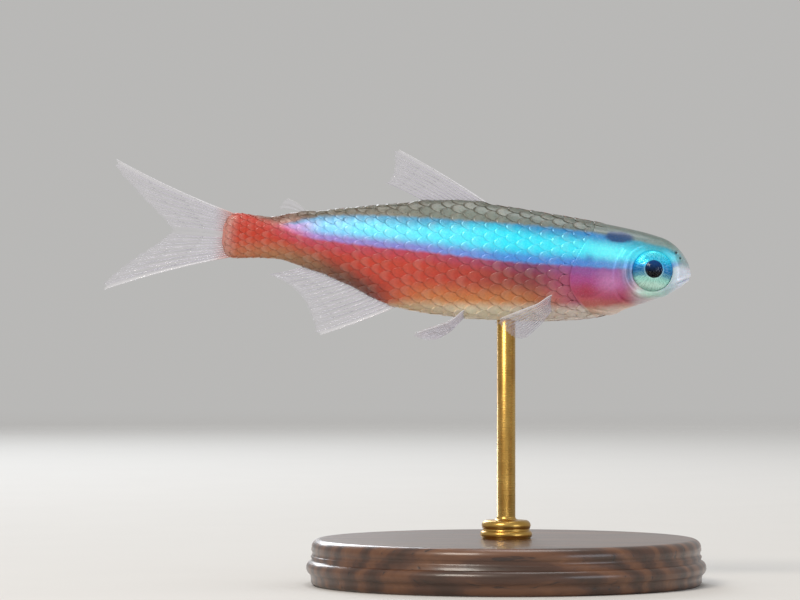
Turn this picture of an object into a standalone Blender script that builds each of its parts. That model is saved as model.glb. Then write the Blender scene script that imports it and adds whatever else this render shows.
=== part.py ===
"""A life-size cardinal tetra, level and slightly nose-down as it swims, on a small display stand.

The fish heads along +X with its left side towards +Y, and +Z is up. The origin is the middle of
the underside of the stand's base. Lengths along the fish are in body lengths, counted from the
snout to the end of the tail stalk, and every body section is worked out from a few outlines.
"""

import bisect
import math
import random
from dataclasses import dataclass

import bmesh
import bpy
from mathutils import Vector

MM = 0.001
BODY_LENGTH = 30 * MM
GAP = 0.3 * MM
FIN_THICK = 0.5 * MM
MERGE = 0.006 * MM
SEED = 7

# The pose: how far the snout points down, and how far the tail tip swings towards the left
NOSE_DOWN = math.radians(5.2)
TAIL_SWING = 1.1 * MM
SWING_FROM = 0.5
TAIL_TIP = 1.28

# The stand. The base's shoulder, cove and bead are arcs, each with its middle's distance in from
# the rim, its height, its radius and where it starts and ends in degrees. They stand on a foot
BASE_RADIUS = 13 * MM
BASE_HEIGHT = 3 * MM
BASE_EDGE = ((0.9 * MM, 2.45 * MM, 0.55 * MM, 90, 8), (0.12 * MM, 2.1 * MM, 0.28 * MM, 140, 230),
             (0.5 * MM, 1.15 * MM, 0.5 * MM, 75, -60))
BASE_FOOT = ((0.3 * MM, 0.5 * MM), (0.3 * MM, 0.2 * MM), (0.5 * MM, 0.0))
ROD_RADIUS = 0.6 * MM
ROD_EDGE = 0.15 * MM
COLLAR_RADIUS = 1.7 * MM
COLLAR_HEIGHT = 1.2 * MM
AXIS_HEIGHT = 21 * MM
BALANCE = 0.40

# Outlines as (place along the body, size), both in body lengths
NOSE_HEIGHT = 0.005
NOSE_ROUNDING = 0.07
BACK = ((0.0, 0.060), (0.06, 0.075), (0.12, 0.087), (0.25, 0.101), (0.47, 0.115), (0.62, 0.102),
        (0.78, 0.074), (0.86, 0.056), (0.92, 0.045), (1.0, 0.048))
BELLY = ((0.0, 0.032), (0.05, 0.049), (0.10, 0.070), (0.16, 0.096), (0.23, 0.115), (0.36, 0.130),
         (0.48, 0.134), (0.60, 0.128), (0.66, 0.111), (0.77, 0.069), (0.86, 0.047), (0.92, 0.044),
         (1.0, 0.052))
HALF_WIDTH = ((0.0, 0.036), (0.05, 0.047), (0.10, 0.056), (0.20, 0.066), (0.35, 0.069),
              (0.50, 0.064), (0.65, 0.049), (0.80, 0.031), (0.92, 0.019), (1.0, 0.014))
WIDEST = ((0.0, 0.002), (0.10, 0.004), (0.30, -0.006), (0.50, -0.014), (0.70, -0.006),
          (0.85, 0.003), (1.0, 0.002))
FULLNESS = ((0.0, 2.2), (0.08, 2.5), (0.25, 2.3), (0.50, 2.1), (1.0, 2.1))

# Where the body is parted: the gill opening as (height round the section, place), and the vent
GILL_EDGE = ((-1.0, 0.165), (-0.75, 0.222), (-0.2, 0.262), (0.35, 0.243), (0.7, 0.222),
             (1.0, 0.215))
GILL_MIDDLE = 0.262
HEAD_LENGTH = 0.24
EDGE_BLEND_FROM = 0.35
VENT = 0.63

# How finely things are divided. The head's rings crowd towards the snout
HEAD_RINGS = 20
HEAD_CROWDING = 1.45
STEPS_BELOW = 3
STEPS_INSIDE = 9
STEPS_ABOVE = 5
TRUNK_RINGS = 13
TRUNK_COLUMNS = 36
TAIL_RINGS = 12
TAIL_COLUMNS = 32
COVER_ROWS = 8
COVER_COLUMNS = 9
EYE_STEPS = 28
BASE_STEPS = 48
BASE_CORNER_STEPS = 4
ROD_STEPS = 24

# The gill covers, each a plate in a recess of the head
COVER_FRONT = 0.66
COVER_LOW = math.radians(-58)
COVER_HIGH = math.radians(38)
COVER_PROUD = 0.1 * MM
COVER_THICK = 0.5 * MM
RECESS_WALL = math.radians(1.5)
RECESS_STEP = 0.006
COVER_SIDE_GAP = math.radians(7.5)
COVER_FRONT_GAP = 0.05

# The eyes. The rings of an eye are counted in radii of its pupil
EYE_PLACE = 0.085
EYE_HEIGHT = 0.008
EYE_RADIUS = 1.38 * MM
EYE_OUT = 1.12 * MM
EYE_DOME = 0.78 * MM
EYE_DEPTH = 0.55 * MM
EYE_FORWARD = math.radians(8)
PUPIL_RADIUS = 0.62 * MM
PUPIL_PROUD = 0.05 * MM
EYE_RINGS = (0.0, 0.5, 0.96, 1.06, 1.3, 1.6, 1.9, 2.13)

# The mouth, its lips and the nostrils. The cut is given as (place, share of the full opening)
MOUTH_END = 0.027
MOUTH_RISE = -0.004
MOUTH_SLOPE = -0.55
MOUTH_OPEN = 0.16 * MM
MOUTH_REACH = 3 * MM
MOUTH_CUT = ((-0.03, 1.0), (0.004, 1.0), (MOUTH_END, 0.35))
LIP_FRONT = 0.002
LIP_CROWDING = 1.6
LIP_RADIUS = 0.19 * MM
LIP_APART = 0.16 * MM
LIP_SUNK = 0.07 * MM
LIP_STEPS = 7
LIP_TAPER = 0.45
NOSTRILS = ((0.026, 0.041, 0.12 * MM), (0.036, 0.052, 0.15 * MM))
NOSTRIL_DEPTH = 0.22 * MM
NOSTRIL_NARROWS = 0.7

# The fins. Ridges and tips are shares of a ray's length, and the leading ray is cut short
RAY_RIDGE = 0.1 * MM
RIDGE_FADES = 0.7
TIP_TAPER = 0.3
TIP_THICK = 0.35
MEMBRANE_NOTCH = 0.04
LEADING_SHORT = 0.93
LENGTH_VARIES = 0.015
ANAL_SLANT = 1.25

COLLECTION = "cardinal_tetra_on_stand"
CUTTERS = "cutters"


@dataclass
class Fin:
    """The sizes of a fin: lengths in body lengths, and how its rays lean and bend, in degrees.

    Its membrane is divided into rows from root to tip, and its rays rise by the ridge's height.
    A midline fin starts and ends at places along the body. A paired fin starts and ends to
    each side of its root, which is a place and a height on the flank.
    """

    count: int
    start: float
    end: float
    longest: float
    shortest: float
    falloff: float
    leans: tuple
    bends: tuple
    rows: int
    ridge: float = RAY_RIDGE
    root: tuple = (0.0, 0.0)
    stands_out: float = 0.0
    droops: float = 0.0


DORSAL = Fin(10, 0.468, 0.598, longest=0.222, shortest=0.082, falloff=1.3, leans=(29, 22),
             bends=(-6, -6), rows=9)
FATTY = Fin(4, 0.846, 0.868, longest=0.046, shortest=0.034, falloff=1.0, leans=(42, 12),
            bends=(-30, -30), rows=5, ridge=0.0)
ANAL = Fin(16, 0.641, 0.846, longest=0.174, shortest=0.066, falloff=1.9, leans=(-28, -18),
           bends=(5, 5), rows=7)
TAIL_LOBE = Fin(9, 0.0, 0.0, longest=0.295, shortest=0.130, falloff=1.3, leans=(16, 1.5),
                bends=(8, 1), rows=11)
PECTORAL = Fin(9, -0.017, 0.017, longest=0.150, shortest=0.085, falloff=0.7, leans=(-9, 17),
               bends=(4, 4), rows=8, root=(0.292, -0.078), stands_out=34, droops=16)
PELVIC = Fin(7, -0.012, 0.012, longest=0.130, shortest=0.072, falloff=0.8, leans=(-10, 10),
             bends=(4, 4), rows=7, root=(0.475, -0.119), stands_out=30, droops=8)


def curve_through(stations, place):
    """The height at a place of a smooth curve through the given stations."""
    last = len(stations) - 1
    first = bisect.bisect_right([station[0] for station in stations], place) - 1
    first = min(max(first, 0), last - 1)

    def slope(index):
        before = stations[max(index - 1, 0)]
        after = stations[min(index + 1, last)]
        return (after[1] - before[1]) / (after[0] - before[0])

    (start, low), (end, high) = stations[first], stations[first + 1]
    span = end - start
    t = min(max((place - start) / span, 0.0), 1.0)
    rest = 1 - t
    eased = (1 + 2 * t) * rest * rest * low + t * t * (3 - 2 * t) * high
    return eased + span * t * rest * (rest * slope(first) - t * slope(first + 1))


def nose_round(place):
    """How far the rounding of the snout lets the section open, from 0 at its tip to 1."""
    from_full = 1 - min(place / NOSE_ROUNDING, 1.0)
    return math.sqrt(max(1 - from_full * from_full, 0.0))


def top_of(place):
    return NOSE_HEIGHT + curve_through(BACK, place) * nose_round(place)


def bottom_of(place):
    return NOSE_HEIGHT - curve_through(BELLY, place) * nose_round(place)


def widest_of(place):
    opened = nose_round(place)
    return NOSE_HEIGHT * (1 - opened) + curve_through(WIDEST, place) * opened


def flank(place, angle):
    """A point of the skin. The angle runs from the left side, 0, over the back."""
    middle = widest_of(place)
    half = curve_through(HALF_WIDTH, place) * nose_round(place)
    power = 2 / curve_through(FULLNESS, place)
    across, upward = math.cos(angle), math.sin(angle)
    reach = top_of(place) - middle if upward > 0 else middle - bottom_of(place)
    y = half * math.copysign(abs(across) ** power, across)
    z = middle + reach * math.copysign(abs(upward) ** power, upward)
    return Vector(((BALANCE - place), y, z)) * BODY_LENGTH


def outward(place, angle):
    """The direction that the skin faces."""
    step = 0.002
    along = flank(place + step, angle) - flank(max(place - step, 0.0), angle)
    around = flank(place, angle + step) - flank(place, angle - step)
    return along.cross(around).normalized()


def lifted(place, angle, lift):
    return flank(place, angle) + outward(place, angle) * lift


def scaled(place, angle, lift):
    """A point over or under the skin, straight away from the middle of its section."""
    point = flank(place, angle)
    away = Vector((0.0, point.y, point.z - widest_of(place) * BODY_LENGTH)).normalized()
    return point + away * lift


def side_point(place, height):
    """The angle at which the left side has this height."""
    middle = widest_of(place)
    reach = top_of(place) - middle if height > middle else middle - bottom_of(place)
    share = min(max((height - middle) / reach, -1.0), 1.0)
    power = curve_through(FULLNESS, place) / 2
    return math.asin(math.copysign(abs(share) ** power, share))


def gill_edge(angle):
    return curve_through(GILL_EDGE, math.sin(angle))


def head_place(share, angle):
    """How far back a share of the head's length lies, so that the last ring is the gill edge."""
    blend = max((share - EDGE_BLEND_FROM) / (1 - EDGE_BLEND_FROM), 0.0)
    blend = blend * blend * (3 - 2 * blend)
    return share * (HEAD_LENGTH + (gill_edge(angle) - HEAD_LENGTH) * blend)


def swung(point):
    """The point moved sideways by the gentle swing of the tail."""
    place = BALANCE - point.x / BODY_LENGTH
    share = max(place - SWING_FROM, 0.0) / (TAIL_TIP - SWING_FROM)
    return Vector((point.x, point.y + TAIL_SWING * share * share, point.z))


def middle_at(place):
    """The middle of the body's section."""
    return swung(Vector((BALANCE - place, 0.0, widest_of(place))) * BODY_LENGTH)


def paint(name, colour, roughness, metallic=0.0):
    material = bpy.data.materials.new(name)
    material.use_nodes = True
    shader = material.node_tree.nodes["Principled BSDF"]
    shader.inputs["Base Color"].default_value = (*colour, 1.0)
    shader.inputs["Roughness"].default_value = roughness
    shader.inputs["Metallic"].default_value = metallic
    return material


class Builder:
    """Where new objects go: the model's collection, or the one that holds its cutters."""

    def __init__(self, materials):
        self.materials = materials
        self.parts = bpy.data.collections.new(COLLECTION)
        self.tools = bpy.data.collections.new(CUTTERS)
        for group in (self.parts, self.tools):
            bpy.context.scene.collection.children.link(group)
        self.pose = bpy.data.objects.new("fish_pose", None)
        self.parts.objects.link(self.pose)
        self.pose.location = (0.0, 0.0, AXIS_HEIGHT)
        self.pose.rotation_euler = (0.0, NOSE_DOWN, 0.0)
        bpy.context.view_layer.update()

    def add(self, name, mesh, material, posed=True):
        thing = bpy.data.objects.new(name, mesh)
        self.parts.objects.link(thing)
        mesh.materials.append(self.materials[material])
        if posed:
            thing.parent = self.pose
        return thing

    def add_cutter(self, name, mesh):
        thing = bpy.data.objects.new(name, mesh)
        self.tools.objects.link(thing)
        thing.hide_render = True
        thing.display_type = "WIRE"
        return thing

    def boolean(self, thing, operation):
        """Join or cut with every cutter there is, and remove the cutters."""
        thing.parent = None
        change = thing.modifiers.new(operation.lower(), "BOOLEAN")
        change.operation = operation
        change.operand_type = "COLLECTION"
        change.collection = self.tools
        change.solver = "EXACT"
        keep_largest_body(thing)
        for tool in list(self.tools.objects):
            bpy.data.objects.remove(tool, do_unlink=True)
        thing.parent = self.pose


def closed_mesh(name, points, faces):
    """A mesh of flat triangles with its faces pointing out."""
    mesh = bpy.data.meshes.new(name)
    mesh.from_pydata(points, [], faces)
    work = bmesh.new()
    work.from_mesh(mesh)
    bmesh.ops.triangulate(work, faces=work.faces)
    bmesh.ops.recalc_face_normals(work, faces=work.faces)
    work.to_mesh(mesh)
    work.free()
    return mesh


def loft(name, rings, front, back):
    """A closed skin through rings of equal count, with an end point each."""
    count = len(rings[0])
    points = [point for ring in rings for point in ring]
    faces = []
    for row in range(len(rings) - 1):
        for column in range(count):
            near = row * count + column
            far = row * count + (column + 1) % count
            faces.append((near, far, far + count, near + count))
    for end, first in ((front, 0), (back, len(points) - count)):
        tip = len(points)
        points.append(end)
        for column in range(count):
            faces.append((tip, first + column, first + (column + 1) % count))
    return closed_mesh(name, points, faces)


def connected(work):
    """The vertices of a mesh, sorted into the bodies that they make."""
    waiting = set(work.verts)
    bodies = []
    while waiting:
        body = set()
        reached = [waiting.pop()]
        while reached:
            vertex = reached.pop()
            body.add(vertex)
            for link in vertex.link_edges:
                other = link.other_vert(vertex)
                if other in waiting:
                    waiting.discard(other)
                    reached.append(other)
        bodies.append(body)
    return bodies


def keep_largest_body(thing):
    """Apply the modifiers, merge what a cut left too close, and drop any loose scrap."""
    bpy.context.view_layer.update()
    seen = thing.evaluated_get(bpy.context.evaluated_depsgraph_get())
    mesh = bpy.data.meshes.new_from_object(seen)
    thing.modifiers.clear()
    thing.data = mesh
    work = bmesh.new()
    work.from_mesh(mesh)
    bmesh.ops.remove_doubles(work, verts=work.verts, dist=MERGE)
    bmesh.ops.dissolve_degenerate(work, edges=work.edges, dist=MERGE / 2)
    bmesh.ops.triangulate(work, faces=work.faces)
    bodies = connected(work)
    largest = max(bodies, key=len)
    loose = [vertex for body in bodies if body is not largest for vertex in body]
    bmesh.ops.delete(work, geom=loose, context="VERTS")
    work.to_mesh(mesh)
    work.free()


def even_steps(start, end, count):
    return [start + (end - start) * k / count for k in range(count + 1)]


def half_ring_angles():
    """Angles up the left side of the head, with a close pair at each edge of the recess."""
    quarter = math.radians(90)
    below = even_steps(-quarter, COVER_LOW, STEPS_BELOW)
    inside = even_steps(COVER_LOW + RECESS_WALL, COVER_HIGH - RECESS_WALL, STEPS_INSIDE)
    return below + inside + even_steps(COVER_HIGH, quarter, STEPS_ABOVE)


def ring_angles(half):
    return half + [math.pi - angle for angle in reversed(half[1:-1])]


def mouth_height(place):
    return NOSE_HEIGHT + MOUTH_RISE + MOUTH_SLOPE * max(place, 0.0)


def mouth_point(place, offset):
    """A point of the mouth line on the left side, shifted up or down and slightly sunk."""
    angle = side_point(place, mouth_height(place) + offset / BODY_LENGTH)
    return lifted(place, angle, -LIP_SUNK)


def lip_bead(name, offset, builder):
    """A tapered bead along one edge of the mouth, from corner to corner round the snout."""
    steps = [(k / LIP_STEPS) ** LIP_CROWDING for k in range(LIP_STEPS + 1)]
    places = [LIP_FRONT + (MOUTH_END - LIP_FRONT) * step for step in steps]
    left = [mouth_point(place, offset) for place in places]
    right = [Vector((point.x, -point.y, point.z)) for point in left]
    route = list(reversed(right)) + left
    curve = bpy.data.curves.new(name, "CURVE")
    curve.dimensions = "3D"
    curve.bevel_depth = LIP_RADIUS
    curve.bevel_resolution = 2
    curve.use_fill_caps = True
    line = curve.splines.new("POLY")
    line.points.add(len(route) - 1)
    middle = (len(route) - 1) / 2
    for index, point in enumerate(route):
        line.points[index].co = (*point, 1.0)
        line.points[index].radius = 1 - LIP_TAPER * (abs(index - middle) / middle) ** 3
    bead = builder.add_cutter(name, curve)
    bpy.context.view_layer.update()
    seen = bead.evaluated_get(bpy.context.evaluated_depsgraph_get())
    mesh = bpy.data.meshes.new_from_object(seen)
    work = bmesh.new()
    work.from_mesh(mesh)
    bmesh.ops.remove_doubles(work, verts=work.verts, dist=MERGE / 4)
    bmesh.ops.recalc_face_normals(work, faces=work.faces)
    work.to_mesh(mesh)
    work.free()
    bpy.data.objects.remove(bead, do_unlink=True)
    builder.add_cutter(name, mesh)


def mouth_slit(builder):
    """The slit between the lips: a wedge across the snout, closing towards its corners."""
    upper = []
    lower = []
    for place, opened in MOUTH_CUT:
        x = (BALANCE - place) * BODY_LENGTH
        z = mouth_height(place) * BODY_LENGTH
        upper.append((x, z + opened * MOUTH_OPEN / 2))
        lower.append((x, z - opened * MOUTH_OPEN / 2))
    outline = upper + list(reversed(lower))
    count = len(outline)
    points = [Vector((x, y, z)) for y in (-MOUTH_REACH, MOUTH_REACH) for x, z in outline]
    faces = [tuple(range(count)), tuple(range(count, 2 * count))]
    for k in range(count):
        after = (k + 1) % count
        faces.append((k, after, after + count, k + count))
    builder.add_cutter("mouth_slit", closed_mesh("mouth_slit", points, faces))


def nostril_pits(builder):
    for side in (1, -1):
        for place, height, radius in NOSTRILS:
            angle = side_point(place, height)
            spot = flank(place, angle)
            facing = outward(place, angle)
            spot.y *= side
            facing.y *= side
            mesh = bpy.data.meshes.new("nostril")
            work = bmesh.new()
            bmesh.ops.create_cone(work, cap_ends=True, segments=10, radius2=radius,
                                  radius1=radius * NOSTRIL_NARROWS, depth=2 * NOSTRIL_DEPTH)
            work.to_mesh(mesh)
            work.free()
            pit = builder.add_cutter("nostril", mesh)
            pit.location = spot
            pit.rotation_euler = facing.to_track_quat("Z", "Y").to_euler()


def turn(thing, steps):
    """Turn a profile of (radius, height) points round Z, from the top down."""
    screw = thing.modifiers.new("turn", "SCREW")
    screw.axis = "Z"
    screw.steps = steps
    screw.render_steps = steps
    screw.use_merge_vertices = True
    screw.merge_threshold = MERGE / 6
    screw.use_smooth_shade = True
    return thing


def profile_mesh(name, profile):
    mesh = bpy.data.meshes.new(name)
    points = [(radius, 0.0, height) for radius, height in profile]
    mesh.from_pydata(points, [(k, k + 1) for k in range(len(points) - 1)], [])
    return mesh


def eye_profile(margin):
    """Half the outline of an eye, grown by a margin that leaves the socket its clearance."""
    rim = EYE_RADIUS + margin
    curve_radius = (EYE_RADIUS ** 2 + EYE_DOME ** 2) / (2 * EYE_DOME)
    profile = []
    if margin:
        profile += [(0.0, 2 * EYE_DOME), (rim, 2 * EYE_DOME)]
    else:
        for share in EYE_RINGS:
            radius = share * PUPIL_RADIUS
            height = math.sqrt(curve_radius ** 2 - radius ** 2) - (curve_radius - EYE_DOME)
            profile.append((radius, height + (PUPIL_PROUD if share < 1 else 0.0)))
    back = -EYE_DEPTH - margin
    return profile + [(rim, 0.0), (rim * 0.96, -0.3 * EYE_DEPTH), (rim * 0.7, back), (0.0, back)]


def place_eye(thing, side):
    x = (BALANCE - EYE_PLACE) * BODY_LENGTH
    thing.location = (x, side * EYE_OUT, EYE_HEIGHT * BODY_LENGTH)
    facing = Vector((math.sin(EYE_FORWARD), side * math.cos(EYE_FORWARD), 0.0))
    thing.rotation_euler = facing.to_track_quat("Z", "Y").to_euler()


def make_head(builder):
    """The head, with the mouth, nostrils and eye sockets cut and a recess for each gill cover."""
    half = half_ring_angles()
    angles = ring_angles(half)
    inside = [COVER_LOW < angle < COVER_HIGH for angle in half]
    inside += list(reversed(inside[1:-1]))
    floor = COVER_PROUD - COVER_THICK - GAP
    shares = [(k / HEAD_RINGS) ** HEAD_CROWDING for k in range(1, HEAD_RINGS + 1)]
    shares = [share for share in shares if abs(share - COVER_FRONT) > 3 * RECESS_STEP]
    shares = sorted(shares + [COVER_FRONT, COVER_FRONT + RECESS_STEP])
    rings = []
    for share in shares:
        ring = []
        for angle, recessed in zip(angles, inside):
            sunk = floor if recessed and share > COVER_FRONT else 0.0
            ring.append(scaled(head_place(share, angle), angle, sunk))
        rings.append(ring)
    nose = Vector((BALANCE, 0.0, NOSE_HEIGHT)) * BODY_LENGTH
    head = builder.add("head", loft("head", rings, nose, middle_at(GILL_MIDDLE)), "head")
    lip_bead("upper_lip", LIP_APART, builder)
    lip_bead("lower_lip", -LIP_APART, builder)
    builder.boolean(head, "UNION")
    mouth_slit(builder)
    nostril_pits(builder)
    for side in (1, -1):
        socket = builder.add_cutter("socket", profile_mesh("socket", eye_profile(GAP)))
        place_eye(turn(socket, EYE_STEPS), side)
    builder.boolean(head, "DIFFERENCE")
    head.data.materials.clear()
    head.data.materials.append(builder.materials["head"])


def make_eye(name, side, builder):
    eye = builder.add(name, profile_mesh(name, eye_profile(0.0)), "eye")
    place_eye(turn(eye, EYE_STEPS), side)


def make_gill_cover(name, side, builder):
    """The bony plate over the gills, free along its rear edge."""
    rows, columns = COVER_ROWS, COVER_COLUMNS
    low, high = COVER_LOW + COVER_SIDE_GAP, COVER_HIGH - COVER_SIDE_GAP
    front = COVER_FRONT + COVER_FRONT_GAP
    points = []
    for lift in (COVER_PROUD, COVER_PROUD - COVER_THICK):
        for row in range(rows + 1):
            for column in range(columns + 1):
                angle = low + (high - low) * column / columns
                place = head_place(front + (1 - front) * row / rows, angle)
                point = scaled(place, angle, lift)
                point.y *= side
                points.append(point)
    builder.add(name, closed_mesh(name, points, sheet_faces(rows, columns)), "cover")


def sheet_faces(rows, columns):
    """Triangles of a thin sheet: both faces split alike, and the rim that joins them."""
    wide = columns + 1
    below = wide * (rows + 1)
    faces = []
    for row in range(rows):
        for column in range(columns):
            near = row * wide + column
            a, b, c, d = near, near + 1, near + 1 + wide, near + wide
            faces += [(a, b, c), (a, c, d)]
            faces += [(a + below, c + below, b + below), (a + below, d + below, c + below)]
    rim = [column for column in range(wide)]
    rim += [row * wide + columns for row in range(1, rows + 1)]
    rim += [rows * wide + column for column in range(columns - 1, -1, -1)]
    rim += [row * wide for row in range(rows - 1, 0, -1)]
    for index, point in enumerate(rim):
        after = rim[(index + 1) % len(rim)]
        faces += [(point, point + below, after + below), (point, after + below, after)]
    return faces


def make_trunk(builder):
    angles = [2 * math.pi * k / TRUNK_COLUMNS for k in range(TRUNK_COLUMNS)]
    rings = []
    for row in range(TRUNK_RINGS + 1):
        ring = []
        for angle in angles:
            start = gill_edge(angle) + GAP / BODY_LENGTH
            place = start + (VENT - start) * row / TRUNK_RINGS
            ring.append(swung(flank(place, angle)))
        rings.append(ring)
    front = middle_at(GILL_MIDDLE + GAP / BODY_LENGTH)
    builder.add("trunk", loft("trunk", rings, front, middle_at(VENT)), "trunk")


def make_tail(builder):
    """The tail, from the vent to where the tail fin begins."""
    angles = [2 * math.pi * k / TAIL_COLUMNS for k in range(TAIL_COLUMNS)]
    start = VENT + GAP / BODY_LENGTH
    rings = []
    for row in range(TAIL_RINGS + 1):
        place = start + (1 - start) * row / TAIL_RINGS
        rings.append([swung(flank(place, angle)) for angle in angles])
    builder.add("tail", loft("tail", rings, middle_at(start), middle_at(1.0)), "tail")


@dataclass
class Ray:
    """One fin ray in the plane of its fin: it leaves its root at an angle and bends evenly."""

    root: tuple
    angle: float
    length: float
    bend: float

    def at(self, share):
        turn = self.angle + self.bend * share / 2
        reach = self.length * share
        return (self.root[0] + reach * math.cos(turn), self.root[1] + reach * math.sin(turn))


def fan(fin, root_at, chance, side=1):
    """The rays of a fin from its leading edge on, each a little different in length."""
    rays = []
    for index in range(fin.count):
        share = index / (fin.count - 1)
        length = fin.shortest + (fin.longest - fin.shortest) * (1 - share) ** fin.falloff
        length *= chance.uniform(1 - LENGTH_VARIES, 1.0)
        if index == 0:
            length *= LEADING_SHORT
        lean = fin.leans[0] + (fin.leans[1] - fin.leans[0]) * share
        bend = fin.bends[0] + (fin.bends[1] - fin.bends[0]) * share
        rays.append(Ray(root_at(share), side * math.radians(lean), length,
                        side * math.radians(bend)))
    return rays


def halfway(one, two, share):
    """The membrane's line between two rays, which ends a little short of their tips."""
    reach = share * (1 - MEMBRANE_NOTCH * share)
    (x1, y1), (x2, y2) = one.at(reach), two.at(reach)
    return ((x1 + x2) / 2, (y1 + y2) / 2)


def make_fin(name, fin, rays, placed, builder, root_cut=None):
    """A thin closed fin whose rays stand up as ridges on both faces of its membrane."""
    rows = fin.rows
    columns = 2 * len(rays) - 1
    points = []
    for side in (1, -1):
        for row in range(rows + 1):
            share = row / rows
            tip = min((1 - share) / TIP_TAPER, 1.0)
            for column in range(columns):
                half = FIN_THICK / 2 * (TIP_THICK + (1 - TIP_THICK) * tip)
                ray = rays[column // 2]
                if column % 2:
                    spot = halfway(ray, rays[column // 2 + 1], share)
                else:
                    spot = ray.at(share)
                    half += fin.ridge * (1 - RIDGE_FADES * share)
                point = placed(*spot, side * half)
                if row == 0 and root_cut:
                    point = root_cut(point)
                points.append(swung(point))
    builder.add(name, closed_mesh(name, points, sheet_faces(rows, columns - 1)), "fin")


def upright(place, height, aside):
    """From the midplane of the fish, in body lengths, to a point beside it."""
    return Vector(((BALANCE - place) * BODY_LENGTH, aside, height * BODY_LENGTH))


def make_midline_fins(builder, chance):
    """The dorsal and fatty fins on the back, and the anal fin under the tail."""
    gap = GAP / BODY_LENGTH

    def on_back(fin):
        def root_at(share):
            place = fin.start + (fin.end - fin.start) * share
            return (place, top_of(place) + gap)
        return root_at

    def under_tail(share):
        place = ANAL.start + (ANAL.end - ANAL.start) * share
        return (place, bottom_of(place) - gap * ANAL_SLANT)

    make_fin("dorsal_fin", DORSAL, fan(DORSAL, on_back(DORSAL), chance), upright, builder)
    make_fin("adipose_fin", FATTY, fan(FATTY, on_back(FATTY), chance), upright, builder)
    make_fin("anal_fin", ANAL, fan(ANAL, under_tail, chance), upright, builder)


def make_tail_fin(builder, chance):
    """The two lobes of the forked tail fin, which meet along the middle as far as the fork."""
    gap = GAP / BODY_LENGTH
    middle = (top_of(1.0) + bottom_of(1.0)) / 2
    for name, side in (("tail_fin_upper", 1), ("tail_fin_lower", -1)):
        outer = top_of(1.0) if side > 0 else bottom_of(1.0)
        inner = middle + side * (gap / 2 + RAY_RIDGE / BODY_LENGTH)

        def root_at(share, outer=outer, inner=inner):
            return (1 + gap, outer + (inner - outer) * share)

        make_fin(name, TAIL_LOBE, fan(TAIL_LOBE, root_at, chance, side), upright, builder)


def make_paired_fin(name, fin, side, builder, chance):
    """A pectoral or pelvic fin, which stands out from the skin with its root face against it."""
    place, height = fin.root
    angle = side_point(place, height)
    spot, facing = flank(place, angle), outward(place, angle)
    spot.y *= side
    facing.y *= side
    back = Vector((-1.0, 0.0, 0.0))
    back = (back - facing * back.dot(facing)).normalized()
    down = back.cross(facing) * side
    lean, droop = math.radians(fin.stands_out), math.radians(fin.droops)
    span = (back * math.cos(lean) + facing * math.sin(lean)).normalized()
    span = (span * math.cos(droop) + down * math.sin(droop)).normalized()
    chord = (down - span * down.dot(span)).normalized()
    face = span.cross(chord).normalized()
    start = spot + facing * (GAP + FIN_THICK / 2)

    def placed(along, over, aside):
        return start + (span * along + chord * over) * BODY_LENGTH + face * aside

    def root_cut(point):
        short = GAP - (point - spot).dot(facing)
        return point + span * (short / span.dot(facing))

    def root_at(share):
        return (0.0, fin.start + (fin.end - fin.start) * share)

    make_fin(name, fin, fan(fin, root_at, chance), placed, builder, root_cut=root_cut)


def belly_height(builder):
    """The lowest point of the posed belly over the rod."""
    radius = ROD_RADIUS / BODY_LENGTH
    heights = []
    for place in (BALANCE - radius, BALANCE, BALANCE + radius):
        belly = builder.pose.matrix_world @ upright(place, bottom_of(place), 0.0)
        heights.append(belly.z)
    return min(heights)


def make_base(builder):
    """A round base with a rounded shoulder, a cove and a bead round its edge."""
    profile = [(0.0, BASE_HEIGHT)]
    for inward, height, radius, start, end in BASE_EDGE:
        for k in range(BASE_CORNER_STEPS + 1):
            turned = math.radians(start + (end - start) * k / BASE_CORNER_STEPS)
            profile.append((BASE_RADIUS - inward + radius * math.cos(turned),
                            height + radius * math.sin(turned)))
    profile += [(BASE_RADIUS - inward, height) for inward, height in BASE_FOOT]
    profile.append((0.0, 0.0))
    base = builder.add("stand_base", profile_mesh("stand_base", profile), "base", posed=False)
    turn(base, BASE_STEPS)


def make_rod(builder):
    """A rod that stands in a collar on the base and ends just under the belly."""
    foot = BASE_HEIGHT + GAP
    rim = foot + COLLAR_HEIGHT / 2
    top = belly_height(builder) - GAP
    profile = [(0.0, top), (ROD_RADIUS - ROD_EDGE, top), (ROD_RADIUS, top - ROD_EDGE)]
    profile += [(ROD_RADIUS, foot + COLLAR_HEIGHT), (COLLAR_RADIUS - ROD_EDGE, rim + ROD_EDGE)]
    profile += [(COLLAR_RADIUS, rim), (COLLAR_RADIUS, foot), (0.0, foot)]
    rod = builder.add("stand_rod", profile_mesh("stand_rod", profile), "rod", posed=False)
    turn(rod, ROD_STEPS)


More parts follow.
